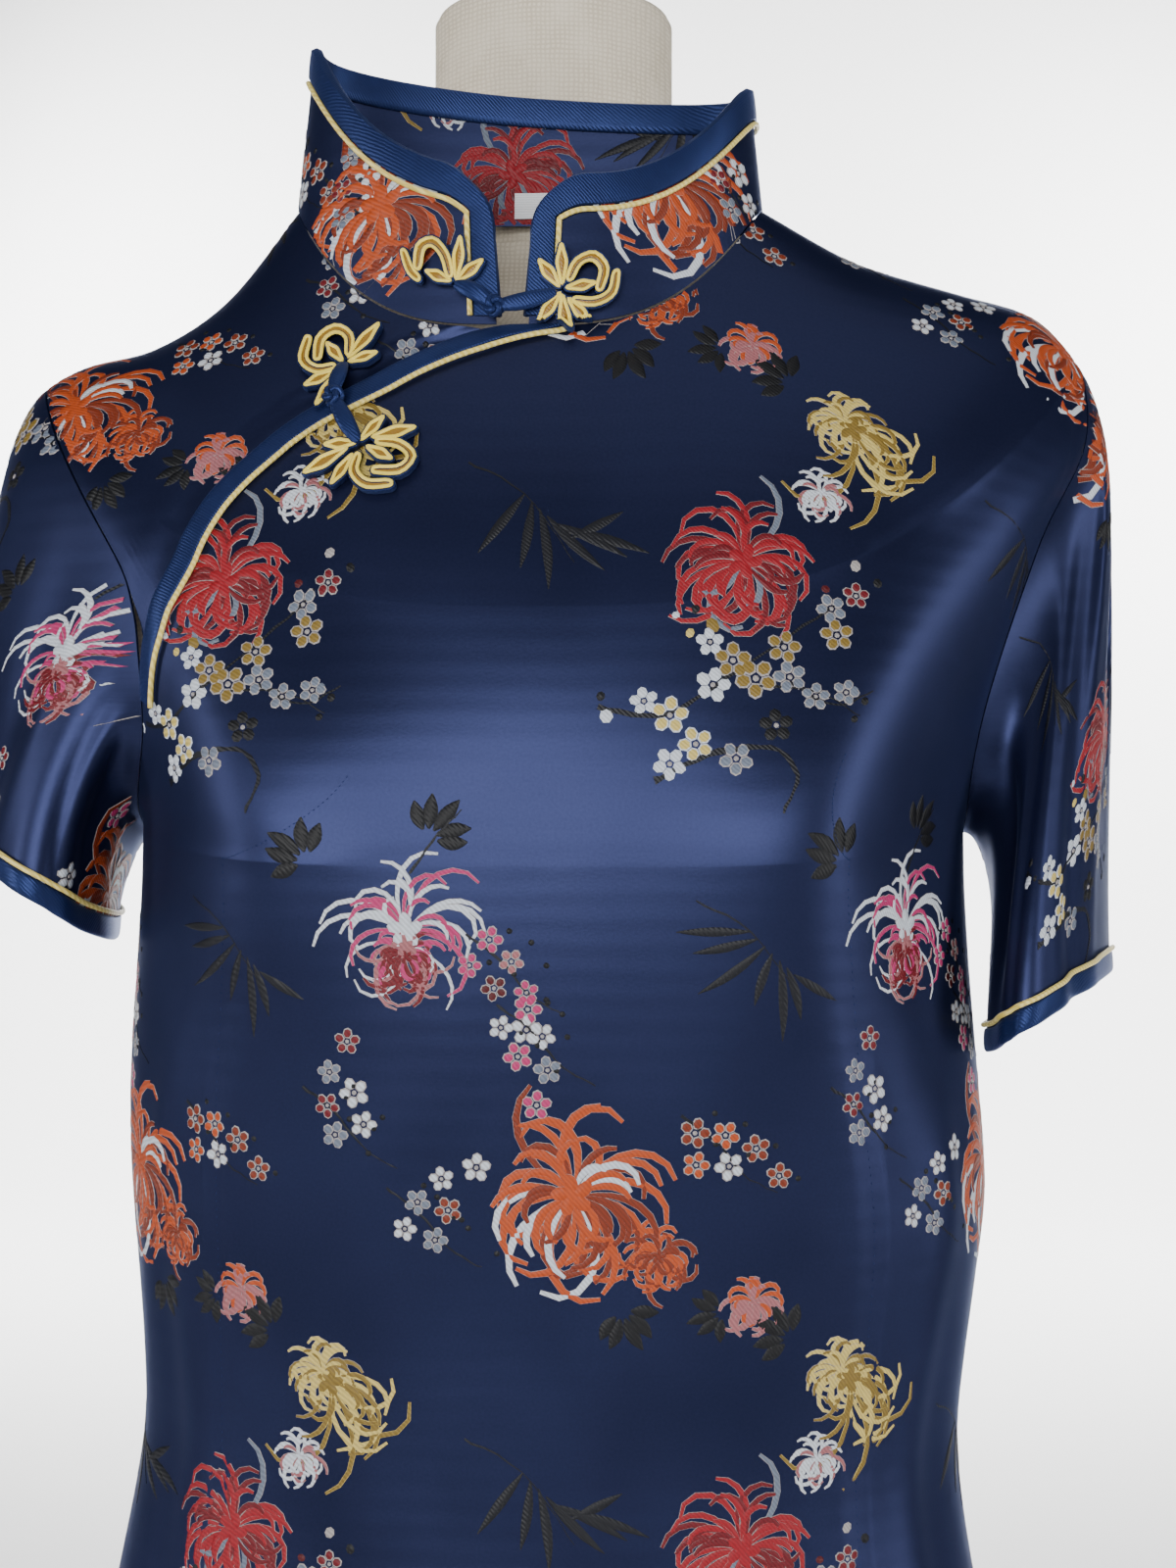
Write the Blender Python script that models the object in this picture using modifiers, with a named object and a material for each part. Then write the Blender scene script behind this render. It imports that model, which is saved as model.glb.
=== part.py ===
"""A short-sleeved cheongsam dress, worn by a plain dress form on a round stand.

Metres, +Z up. The front of the dress faces -Y and the wearer's left side is at +X.
The origin is on the floor, under the centre of the stand's base.
The tables below are in centimetres, as a pattern cutter writes them.
"""

import math
from collections import namedtuple

import bmesh
import bpy
from mathutils import Vector

CM = 0.01
MM = 0.001

# Cloth and trim
CLOTH = 1.2 * MM  # brocade with its backing
SEAM_GAP = 0.35 * MM  # between two pieces that meet
SHOULDER_GAP = 0.9 * MM
COLLAR_GAP = 0.9 * MM
TRIM = 0.8 * MM  # satin binding on the face of a panel
BINDING_WIDTH = 8.5 * MM
PIPING_RADIUS = 1.0 * MM
PIPING_INSET = BINDING_WIDTH + PIPING_RADIUS + SEAM_GAP
ON_CLOTH = SEAM_GAP + TRIM  # outer face of a binding
ON_CLOTH_PIPING = SEAM_GAP + PIPING_RADIUS
ON_COLLAR = 0.9 * MM + TRIM
UNDERLAP = 2.6 * MM  # how far the under front is sunk below the front that covers it
OVERLAP_WIDTH = 2.0 * CM

# Levels of the ring table that the cut depends on
SHOULDER_TIP, UNDERARM, SLIT_TOP, HEM = 3.5, 7, 17, 21
FORM_FOOT = 16.6

# One ring for each level of the dress, from the neckline to the hem, in centimetres and degrees.
# right and left are the wearer's. shift moves a ring sideways, turn twists its centre front,
# and square is the power of its outline, 2 for an ellipse.
Ring = namedtuple(
    "Ring", "z_front z_right z_left z_back half_width y_front y_side y_back shift turn square"
)
RINGS = (
    Ring(141.5, 147.2, 147.0, 147.4, 9.2, -6.2, -0.6, 2.8, -0.7, -7, 2.1),
    Ring(138.6, 143.8, 144.9, 145.4, 12.5, -7.7, 0.0, 5.8, -0.3, -5, 2.1),
    Ring(135.6, 142.0, 144.0, 142.8, 15.8, -9.1, 0.4, 8.2, 0.0, -3, 2.05),
    Ring(132.4, 141.2, 142.7, 139.8, 19.3, -10.3, 0.5, 9.6, 0.3, -2, 1.95),
    Ring(129.2, 139.4, 139.0, 136.0, 21.2, -11.1, 0.4, 10.3, 0.4, -1, 1.85),
    Ring(126.6, 134.5, 134.5, 132.0, 19.4, -11.5, 0.2, 10.6, 0.3, 0, 2.0),
    Ring(124.2, 128.2, 128.2, 127.5, 17.4, -11.6, 0.0, 10.6, 0.2, 0, 2.2),
    Ring(121.6, 122.6, 122.6, 122.4, 16.1, -11.6, 0.0, 10.3, 0.2, 0, 2.4),
    Ring(117.5, 117.5, 117.5, 117.5, 16.3, -11.4, 0.0, 9.8, 0.2, 0, 2.4),
    Ring(113.0, 113.0, 113.0, 113.0, 16.7, -11.0, 0.0, 9.2, 0.2, 0, 2.4),
    Ring(108.5, 108.5, 108.5, 108.5, 16.8, -10.6, 0.0, 8.6, 0.4, 0, 2.4),
    Ring(104.0, 104.0, 104.0, 104.0, 16.3, -10.3, 0.0, 8.1, 0.3, 0, 2.4),
    Ring(99.5, 99.5, 99.5, 99.5, 15.9, -10.2, 0.0, 7.9, 0.1, 0, 2.4),
    Ring(95.0, 95.0, 95.0, 95.0, 16.6, -10.4, 0.0, 8.6, -0.1, 0, 2.4),
    Ring(90.0, 90.0, 90.0, 90.0, 17.6, -10.9, 0.0, 10.0, -0.1, 0, 2.4),
    Ring(84.0, 84.0, 84.0, 84.0, 18.5, -11.5, 0.0, 11.2, 0.0, 0, 2.4),
    Ring(78.0, 78.0, 78.0, 78.0, 19.0, -11.9, 0.0, 11.8, 0.0, 0, 2.4),
    Ring(70.5, 70.5, 70.5, 70.5, 19.1, -11.9, 0.0, 11.6, 0.0, 0, 2.4),
    Ring(63.0, 63.0, 63.0, 63.0, 19.0, -11.8, 0.0, 11.4, 0.0, 0, 2.4),
    Ring(55.5, 55.5, 55.5, 55.5, 18.9, -11.7, 0.0, 11.2, 0.0, 0, 2.4),
    Ring(48.5, 48.5, 48.5, 48.5, 18.8, -11.7, 0.0, 11.1, 0.0, 0, 2.4),
    Ring(42.0, 42.0, 42.0, 42.0, 18.8, -11.7, 0.0, 11.1, 0.0, 0, 2.4),
)

# Where each edge of a panel lies: degrees round from the centre front, for a level of the table.
Edge = namedtuple("Edge", "level degrees")
OPENING_EDGE = (
    Edge(0.0, 4), Edge(0.2, -6), Edge(0.45, -14), Edge(0.9, -24), Edge(1.25, -29.5),
    Edge(1.6, -34), Edge(2.2, -37.5), Edge(3.1, -39.5), Edge(4.0, -41), Edge(4.85, -47.5), Edge(5.7, -54),
)
RIGHT_ARMHOLE = (
    Edge(3.5, 90), Edge(3.56, 77), Edge(3.73, 66), Edge(4.01, 56), Edge(4.38, 50), Edge(4.8, 50),
    Edge(5.25, 51.5), Edge(5.7, 54), Edge(6.12, 58), Edge(6.49, 65), Edge(6.77, 74), Edge(7.0, 90),
)
LEFT_ARMHOLE = (
    Edge(3.5, 90), Edge(3.56, 84), Edge(3.73, 79), Edge(4.01, 76), Edge(4.38, 75), Edge(4.8, 74),
    Edge(5.25, 73), Edge(5.7, 72), Edge(6.12, 72), Edge(6.49, 75), Edge(6.77, 80), Edge(7.0, 90),
)
BACK_ARMHOLE = (
    Edge(3.5, 90), Edge(3.56, 83), Edge(3.73, 75), Edge(4.01, 69), Edge(4.38, 65), Edge(4.8, 63),
    Edge(5.25, 63), Edge(5.7, 64), Edge(6.12, 66), Edge(6.49, 71), Edge(6.77, 78), Edge(7.0, 90),
)
# The back is open below the collar, where the neck of the form comes out
BACK_OPENING = (Edge(0, 45), Edge(1, 40), Edge(2, 29), Edge(2.8, 17), Edge(3.5, 6), Edge(3.73, 0))
TOP_LEVELS = (0, 0.2, 0.45, 0.9, 1.25, 1.6, 2.2, 2.8)
ARMHOLE_STEPS = 12


def armhole_level(around):
    """Level on an armhole: around is 0 degrees at the shoulder tip and 180 under the arm."""
    return SHOULDER_TIP + (UNDERARM - SHOULDER_TIP) * (1 - math.cos(math.radians(around))) / 2


ARMHOLE_LEVELS = [armhole_level(180 * step / ARMHOLE_STEPS) for step in range(ARMHOLE_STEPS + 1)]
OPENING_END = ARMHOLE_LEVELS[7]
BACK_OPENING_END = ARMHOLE_LEVELS[2]
SKIRT_LEVELS = (7.7, 8.6, 10, 11.5, 13, 14.5, 16, 17, 18.3, 19.7)
NECK_RING_HEIGHT = RINGS[0].z_front - RINGS[1].z_front
HEM_RING_HEIGHT = RINGS[-2].z_front - RINGS[-1].z_front
HEM_BINDING_LEVEL = HEM - BINDING_WIDTH / (HEM_RING_HEIGHT * CM)
SLIT_SPREAD = 5.0  # degrees that each slit edge stands back from the side at the hem


def read_table(rows, level):
    """Every column of a table, read smoothly between the rows on each side of a level."""
    low = min(max(math.floor(level), 0), len(rows) - 2)
    t = level - low
    before = rows[max(low - 1, 0)]
    after = rows[min(low + 2, len(rows) - 1)]
    values = []
    for b, start, end, a in zip(before, rows[low], rows[low + 1], after):
        leaving, arriving = (end - b) / 2, (a - start) / 2
        values.append(
            start * (2 * t**3 - 3 * t**2 + 1)
            + leaving * (t**3 - 2 * t**2 + t)
            + end * (3 * t**2 - 2 * t**3)
            + arriving * (t**3 - t**2)
        )
    return type(rows[0])(*values)


def read_edge(edge, level):
    """Degrees of a panel's edge at a level, straight between the rows of its table."""
    level = min(max(level, edge[0].level), edge[-1].level)
    for start, end in zip(edge, edge[1:]):
        if level <= end.level:
            share = (level - start.level) / (end.level - start.level)
            return start.degrees + share * (end.degrees - start.degrees)
    return edge[-1].degrees


def hump(value, centre, width):
    """A soft bump: 1 at the centre, near 0 beyond two widths."""
    return math.exp(-(((value - centre) / width) ** 2))


def ramp(value, start, end):
    """0 before start, 1 after end, smooth between."""
    t = min(max((value - start) / (end - start), 0), 1)
    return t * t * (3 - 2 * t)


def figure_point(degrees, level):
    """The general figure that the cut fits, at the outer face of smooth cloth."""
    degrees = (degrees + 180) % 360 - 180
    ring = read_table(RINGS, level)
    around = math.radians(degrees)
    around += math.radians(ring.turn) * max(math.cos(around), 0)
    side, ahead = math.sin(around), math.cos(around)
    power = 2 / ring.square
    y_end, z_end = (ring.y_front, ring.z_front) if ahead >= 0 else (ring.y_back, ring.z_back)
    z_side = ring.z_left if side >= 0 else ring.z_right
    x = ring.shift + math.copysign(ring.half_width * abs(side) ** power, side)
    y = ring.y_side + (y_end - ring.y_side) * abs(ahead) ** power
    z = z_end + (z_side - z_end) * abs(side) ** 3.0
    bust = 1.7 * hump(abs(degrees), 36, 17) * hump(level, 6.6, 1.8)
    blades = 0.8 * hump(abs(degrees), 145, 16) * hump(level, 5.2, 1.8)
    return Vector((x, y - bust + blades, z)) * CM


def figure_normal(degrees, level):
    """The outward direction of the figure's surface."""
    step = 0.5
    across = figure_point(degrees + step, level) - figure_point(degrees - step, level)
    down = figure_point(degrees, level + 0.05) - figure_point(degrees, level - 0.05)
    return down.cross(across).normalized()


def fold_height(degrees, level):
    """How far the largest soft folds of the body stand out, in metres."""
    degrees = (degrees + 180) % 360 - 180
    off_seam = 1 - hump(abs(degrees), 90, 18)
    skirt = ramp(level, 15, 21) * 0.45 * off_seam * math.cos(math.radians(9 * degrees + 40))
    drag = -0.28 * hump(degrees + 0.9 * 12 * (level - 7.5), -42, 9) * hump(level, 8.2, 1.6)
    drag -= 0.28 * hump(degrees - 0.9 * 10 * (level - 7.5), 45, 9) * hump(level, 8.4, 1.5)
    waist = -0.25 * hump(level, 12, 1.3) * (hump(abs(degrees), 62, 10) + hump(abs(degrees), 125, 12))
    return (skirt + drag + waist) * CM


def cloth_point(degrees, level, lift=0.0):
    """A point on the outer face of the worn cloth, moved out by lift."""
    out = figure_normal(degrees, level)
    return figure_point(degrees, level) + out * (fold_height(degrees, level) + lift)


def degrees_along(degrees, level, distance):
    """The angle that lies this far round the ring."""
    span = (figure_point(degrees + 1, level) - figure_point(degrees - 1, level)).length / 2
    return degrees + distance / span


def material(name, colour, roughness, metallic=0.0):
    made = bpy.data.materials.new(name)
    made.use_nodes = True
    shader = made.node_tree.nodes["Principled BSDF"]
    shader.inputs["Base Color"].default_value = (*colour, 1)
    shader.inputs["Roughness"].default_value = roughness
    shader.inputs["Metallic"].default_value = metallic
    return made


def keep(obj, finish, smooth=True):
    """Names the material of a finished piece and files it with the dress."""
    obj.data.materials.clear()
    obj.data.materials.append(finish)
    if smooth and obj.type == "MESH":
        obj.data.shade_smooth()
        obj.data.set_sharp_from_angle(angle=math.radians(40))
    for holder in list(obj.users_collection):
        holder.objects.unlink(obj)
    PARTS.objects.link(obj)
    return obj


def sheet(name, rows, finish, thickness=CLOTH, closed=False, cut=None):
    """A cloth wall: a grid laid on rows of points, top row first, its thickness going inwards.

    cut is a column between which and the next the sheet is open, and down to which row.
    """
    down, across = len(rows) - 1, len(rows[0]) - 1
    mesh = bmesh.new()
    bmesh.ops.create_grid(mesh, x_segments=across, y_segments=down, size=1)
    if cut:
        open_faces = [
            face for face in mesh.faces
            if math.floor((face.calc_center_median().x + 1) / 2 * across) == cut[0]
            and math.floor((1 - face.calc_center_median().y) / 2 * down) < cut[1]
        ]
        bmesh.ops.delete(mesh, geom=open_faces, context="FACES")
    for vertex in mesh.verts:
        column = round((vertex.co.x + 1) / 2 * across)
        row = round((1 - vertex.co.y) / 2 * down)
        vertex.co = rows[row][column]
    bmesh.ops.remove_doubles(mesh, verts=mesh.verts, dist=0.01 * MM)
    bmesh.ops.dissolve_degenerate(mesh, edges=mesh.edges, dist=0.01 * MM)
    data = bpy.data.meshes.new(name)
    mesh.to_mesh(data)
    mesh.free()
    obj = bpy.data.objects.new(name, data)
    bpy.context.scene.collection.objects.link(obj)
    wall = obj.modifiers.new("wall", "SOLIDIFY")
    wall.thickness = thickness
    wall.offset = -1
    wall.use_even_offset = not closed
    wall.use_quality_normals = True
    return keep(obj, finish)


def tube(name, points, radius, finish, closed=False):
    """A cord laid along points: a curve with a round bevel and filled caps."""
    curve = bpy.data.curves.new(name, "CURVE")
    curve.dimensions = "3D"
    curve.bevel_depth = radius
    curve.bevel_resolution = 1
    curve.use_fill_caps = True
    spline = curve.splines.new("POLY")
    spline.points.add(len(points) - 1)
    for place, point in zip(spline.points, points):
        place.co = (*point, 1)
    spline.use_cyclic_u = closed
    obj = bpy.data.objects.new(name, curve)
    bpy.context.scene.collection.objects.link(obj)
    return keep(obj, finish)


def spread(start, end, count):
    """count + 1 values, evenly from start to end."""
    return [start + (end - start) * i / count for i in range(count + 1)]


def panel_grid(levels, start_edge, end_edge, inner_columns):
    """Angle and level of each grid point of a panel. The side strips are as wide as a binding."""
    grid = []
    for level in levels:
        start, end = start_edge(level), end_edge(level)
        slant = opening_slant(level) if start_edge is front_start and level <= OPENING_END else 1
        first = degrees_along(start, level, BINDING_WIDTH * slant)
        last = degrees_along(end, level, -BINDING_WIDTH)
        grid.append([(degrees, level) for degrees in (start, *spread(first, last, inner_columns), end)])
    return grid


def lifted(places, lift=0.0):
    return [cloth_point(degrees, level, lift) for degrees, level in places]


def seam_degrees(level):
    """Half a seam gap at the side, as an angle. Over the shoulder the two walls lean together."""
    ring = read_table(RINGS, level)
    depth = (ring.y_side - ring.y_front) * CM
    gap = SEAM_GAP if level > SHOULDER_TIP else SHOULDER_GAP
    return math.degrees(math.asin((gap / 2 / depth) ** (ring.square / 2)))


def opening_slant(level):
    """How much wider a strip along the opening is when it is measured round the ring."""
    low, high = max(level - 0.1, 0), min(level + 0.1, OPENING_END)
    here = read_edge(OPENING_EDGE, level)
    along = figure_point(read_edge(OPENING_EDGE, high), high)
    along -= figure_point(read_edge(OPENING_EDGE, low), low)
    across = figure_point(here + 1, level) - figure_point(here - 1, level)
    return 1 / max(along.normalized().cross(across.normalized()).length, 0.35)


def slit_degrees(level):
    """How far a slit's edge stands back from the side."""
    return SLIT_SPREAD * max(level - SLIT_TOP, 0) / (HEM - SLIT_TOP)


def side_edge(level, armhole):
    """Angle of a panel's side edge: shoulder seam, armhole, side seam, then slit."""
    if SHOULDER_TIP < level < UNDERARM:
        return read_edge(armhole, level)
    return 90 - seam_degrees(level) - slit_degrees(level)


def front_end(level):
    return side_edge(level, LEFT_ARMHOLE)


def front_start(level):
    """The front's edge on the wearer's right: the curved opening, then the armhole and side."""
    if level <= OPENING_END:
        return read_edge(OPENING_EDGE, level)
    return -side_edge(level, RIGHT_ARMHOLE)


def back_start(level):
    return 180 - side_edge(level, BACK_ARMHOLE)


def back_end(level):
    return 180 + side_edge(level, BACK_ARMHOLE)


def border_strip(grid, first_row):
    """A binding round three sides of a panel: down one side, along the hem, up the other."""
    last, end = len(grid) - 1, len(grid[0]) - 1
    down, along = range(first_row, last), range(end + 1)
    up = range(last - 1, first_row - 1, -1)
    outer = [(row, 0) for row in down] + [(last, column) for column in along]
    outer += [(row, end) for row in up]
    inner = [(row, 1) for row in down]
    inner += [(last - 1, min(max(column, 1), end - 1)) for column in along]
    inner += [(row, end - 1) for row in up]
    return [lifted([grid[row][column] for row, column in side], ON_CLOTH) for side in (inner, outer)]


def apart(points):
    """A path without points that all but repeat the one before."""
    path = [points[0]]
    for point in points[1:]:
        if (point - path[-1]).length > 0.5 * MM:
            path.append(point)
    return path


def border_piping(grid, first_row):
    """The line just inside such a binding."""
    last, end = len(grid) - 1, len(grid[0]) - 1
    hem = HEM - PIPING_INSET / (HEM_RING_HEIGHT * CM)
    room = PIPING_INSET - BINDING_WIDTH

    def inside(row, column, step):
        degrees, level = grid[row][column]
        return degrees_along(degrees, level, step), level

    path = [inside(row, 1, room) for row in range(first_row, last - 1)]
    path += [(inside(last - 1, 1, room)[0], hem)]
    path += [(grid[last - 1][column][0], hem) for column in range(2, end - 1)]
    path += [(inside(last - 1, end - 1, -room)[0], hem)]
    path += [inside(row, end - 1, -room) for row in range(last - 2, first_row - 1, -1)]
    return apart(lifted(path, ON_CLOTH_PIPING))


def under_front_grid(levels):
    """The under front closes the right chest. Its edge is sunk below the front that covers it."""
    rows = []
    for level in levels:
        edge = read_edge(OPENING_EDGE, level)
        side = -side_edge(level, RIGHT_ARMHOLE)
        row = []
        for degrees in spread(-90, degrees_along(edge, level, OVERLAP_WIDTH), 14):
            if degrees < side + 2:
                degrees = side
            from_edge = (figure_point(degrees, level) - figure_point(edge, level)).length
            from_edge = math.copysign(from_edge, degrees - edge)
            sunk = ramp(from_edge, -1.6 * CM, -0.3 * CM)
            row.append(cloth_point(degrees, level, -UNDERLAP * sunk))
        rows.append(row)
    return rows


def build_body(brocade, satin, gold):
    """Front, under front and back, with the binding and piping that lie on them."""
    levels = [*TOP_LEVELS, *ARMHOLE_LEVELS, *SKIRT_LEVELS, HEM_BINDING_LEVEL, HEM]
    front = panel_grid(levels, front_start, front_end, 16)
    back = [
        [*left[:-2], left[-1], right[0], *right[2:]]
        for left, right in zip(
            panel_grid(levels, back_start, lambda level: 180 - read_edge(BACK_OPENING, level), 7),
            panel_grid(levels, lambda level: 180 + read_edge(BACK_OPENING, level), back_end, 7),
        )
    ]
    sheet("front", [lifted(row) for row in front], brocade)
    closed_from = levels.index(BACK_OPENING_END)
    sheet("back", [lifted(row) for row in back], brocade, cut=(8, closed_from))
    opening_levels = [level for level in levels if level <= OPENING_END]
    sheet("under_front", under_front_grid(opening_levels), brocade)

    opening = front[: len(opening_levels)]
    strip = [lifted([row[column] for row in opening], ON_CLOTH) for column in (1, 0)]
    sheet("front_opening_binding", strip, satin, TRIM)
    room = PIPING_INSET - BINDING_WIDTH
    welt = [
        (degrees_along(degrees, level, room * opening_slant(level) * (2 - ramp(level, 0.2, 0.9))), level)
        for degrees, level in [row[1] for row in opening[1:]]
    ]
    tube("front_opening_piping", lifted(welt, ON_CLOTH_PIPING), PIPING_RADIUS, gold)

    slit_row = levels.index(SLIT_TOP)
    for name, grid in (("front", front), ("back", back)):
        sheet(f"{name}_hem_binding", border_strip(grid, slit_row), satin, TRIM)
        tube(f"{name}_hem_piping", border_piping(grid, slit_row), PIPING_RADIUS, gold)


# A sleeve hangs from its armhole. side is -1 for the wearer's right. The other columns are the
# middle of its hem, half its width and depth there, how far its front turns in towards the body,
# and how far the hem rises outwards.
Sleeve = namedtuple("Sleeve", "name side armhole hem_x hem_y hem_z half_width half_depth turn_in rise")
SLEEVES = (
    Sleeve("sleeve_right", -1, RIGHT_ARMHOLE, 20.6, 0.4, 120.2, 3.0, 7.8, 2.0, 1.9),
    Sleeve("sleeve_left", 1, LEFT_ARMHOLE, 19.9, 0.2, 115.6, 2.2, 7.6, 2.2, 1.4),
)


def armhole_place(sleeve, around):
    """Angle and level on the armhole: 0 at the shoulder tip, 90 in front, 180 under the arm."""
    around %= 360
    level = armhole_level(around)
    if around % 180 == 0:
        return sleeve.side * 90, level
    if around < 180:
        return sleeve.side * side_edge(level, sleeve.armhole), level
    return sleeve.side * (180 - side_edge(level, BACK_ARMHOLE)), level


def sleeve_start(sleeve, around):
    """Where the sleeve leaves the armhole, and in which direction."""
    degrees, level = armhole_place(sleeve, around)
    before = figure_point(*armhole_place(sleeve, around - 2))
    after = figure_point(*armhole_place(sleeve, around + 2))
    away = (after - before).cross(figure_normal(degrees, level)).normalized() * -sleeve.side
    share = 0.5 + 0.5 * math.cos(math.radians(around))
    out = Vector((sleeve.side, 0, 0))
    leaving = (away * share + out * (1 - share)).normalized()
    return cloth_point(degrees, level) + leaving * SEAM_GAP * (1 + 1.5 * share), leaving


def smooth_sleeve_point(sleeve, around, down):
    """The sleeve from the armhole, down = 0, to the hem, down = 1."""
    start, leaving = sleeve_start(sleeve, around)
    angle = math.radians(around)
    hem = Vector((
        sleeve.side * (
            sleeve.hem_x + sleeve.half_width * math.cos(angle) - sleeve.turn_in * math.sin(angle)
        ),
        sleeve.hem_y - sleeve.half_depth * math.sin(angle),
        sleeve.hem_z + sleeve.rise * math.cos(angle),
    )) * CM
    reach = (hem - start).length
    arriving = Vector((sleeve.side * 0.05, 0, -1))
    return (
        start * (2 * down**3 - 3 * down**2 + 1)
        + leaving * reach * (0.55 * (down**3 - 2 * down**2 + down))
        + hem * (3 * down**2 - 2 * down**3)
        + arriving * reach * (down**3 - down**2)
    )


def sleeve_point(sleeve, around, down, lift=0.0):
    """A point on the worn sleeve's outer face, moved out by lift."""
    step = 0.01
    low, high = max(down - step, 0), min(down + step, 1)
    falling = smooth_sleeve_point(sleeve, around, high) - smooth_sleeve_point(sleeve, around, low)
    turning = smooth_sleeve_point(sleeve, around + 0.5, down)
    turning -= smooth_sleeve_point(sleeve, around - 0.5, down)
    out = falling.cross(turning).normalized() * -sleeve.side
    fold = -0.5 * hump(around, 128, 14) * ramp(down, 0.05, 0.3) * (1 - 0.7 * ramp(down, 0.6, 1))
    fold += 0.2 * hump(around, 80, 16) * ramp(down, 0.3, 0.8)
    return smooth_sleeve_point(sleeve, around, down) + out * (fold * CM + lift)


def sleeve_share(sleeve, around, distance):
    """The height down the sleeve that is this far above the hem."""
    near = smooth_sleeve_point(sleeve, around, 0.9)
    return 1 - 0.1 * distance / (smooth_sleeve_point(sleeve, around, 1) - near).length


def build_sleeve(sleeve, brocade, satin, gold):
    columns = spread(0, 360, 2 * ARMHOLE_STEPS)
    if sleeve.side > 0:
        columns.reverse()
    binding_top = [sleeve_share(sleeve, around, BINDING_WIDTH) for around in columns]
    rows = [
        [sleeve_point(sleeve, around, share * top) for around, top in zip(columns, binding_top)]
        for share in (0, 0.06, 0.16, 0.3, 0.46, 0.64, 0.82, 1)
    ]
    rows.append([sleeve_point(sleeve, around, 1) for around in columns])
    sheet(sleeve.name, rows, brocade, closed=True)
    strip = [
        [sleeve_point(sleeve, around, top, ON_CLOTH) for around, top in zip(columns, binding_top)],
        [sleeve_point(sleeve, around, 1, ON_CLOTH) for around in columns],
    ]
    sheet(f"{sleeve.name}_binding", strip, satin, TRIM, closed=True)
    ring = [
        sleeve_point(sleeve, around, sleeve_share(sleeve, around, PIPING_INSET), ON_CLOTH_PIPING)
        for around in columns[:-1]
    ]
    tube(f"{sleeve.name}_piping", ring, PIPING_RADIUS, gold, closed=True)


COLLAR_HEIGHT = 5.7
COLLAR_LEAN = 0.065  # how much narrower the top is than the base
COLLAR_ENDS = (9.0, 362.5)  # degrees, wearer's left end and right end
COLLAR_CORNER = 2.3  # radius of the rounded front corners
COLLAR_SPREAD = 0.4  # how far each front end leans back from the centre at its top
COLLAR_SLANT = 1.2  # the collar's edge slopes, so an upright measure of its binding is longer


def collar_point(degrees, height, lift=0.0):
    """A point on the collar's outer face, height centimetres above its seam."""
    if height < 0:
        return cloth_point(degrees, -height / NECK_RING_HEIGHT, lift)
    base = figure_point(degrees, 0) + Vector((0, 0, COLLAR_GAP))
    out = figure_point(degrees + 0.5, 0) - figure_point(degrees - 0.5, 0)
    out = Vector((out.y, -out.x, 0)).normalized()
    middle = Vector((RINGS[0].shift * CM, -0.5 * CM, 0))
    lean = Vector((middle.x - base.x, (middle.y - base.y) * 0.6, 0)) * COLLAR_LEAN * height / COLLAR_HEIGHT
    return base + lean + Vector((0, 0, height * CM)) + out * lift


def collar_height(degrees, from_end):
    """Height of the collar's edge, from_end centimetres from its nearer front end."""
    turn = math.radians(degrees)
    full = COLLAR_HEIGHT - 0.85 * math.sin(turn) - 0.35 * (1 - math.cos(turn))
    if from_end >= COLLAR_CORNER:
        return full
    across = COLLAR_CORNER - max(from_end, 0)
    return full - COLLAR_CORNER + math.sqrt(COLLAR_CORNER**2 - across**2)


def collar_columns():
    """Angle of each column of the collar, and its distance from the nearer front end."""
    steps = (0, 0.25, 0.85, 1.5, 2.3, 3.4)
    first, last = COLLAR_ENDS
    near = [(degrees_along(first, 0, step * CM), step) for step in steps]
    far = [(degrees_along(last, 0, -step * CM), step) for step in reversed(steps)]
    middle = spread(near[-1][0], far[0][0], 22)[1:-1]
    return near + [(degrees, 9.0) for degrees in middle] + far


def collar_place(degrees, from_end, height, lift=0.0):
    """As collar_point, with the front ends leaning back towards their tops."""
    lean = COLLAR_SPREAD * (1 - ramp(from_end, 0, 5)) * height / COLLAR_HEIGHT
    lean = math.copysign(lean, 180 - degrees)
    return collar_point(degrees_along(degrees, 0, lean * CM), height, lift)


def collar_edge(inset):
    """Up one front end of the collar, round its top, and down the other, inset centimetres in."""
    columns = collar_columns()
    first, last = columns[0], columns[-1]
    place = []
    below = inset * COLLAR_SLANT
    top = collar_height(first[0], inset) - below
    for degrees, rising in ((last[0], True), (first[0], False)):
        side = -1 if rising else 1
        heights = [0.3 + share * (top - 0.3) for share in (0, 0.35, 0.7, 0.93)]
        moved = degrees_along(degrees, 0, side * inset * CM)
        ends = [(moved, inset, height) for height in heights]
        if rising:
            place += ends
            for column, from_end in reversed(columns):
                if from_end < inset:
                    nearer = last[0] if column > 180 else first[0]
                    step = -inset if column > 180 else inset
                    column, from_end = degrees_along(nearer, 0, step * CM), inset
                place.append((column, from_end, collar_height(column, from_end) - below))
        else:
            place += reversed(ends)
    return place


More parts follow.
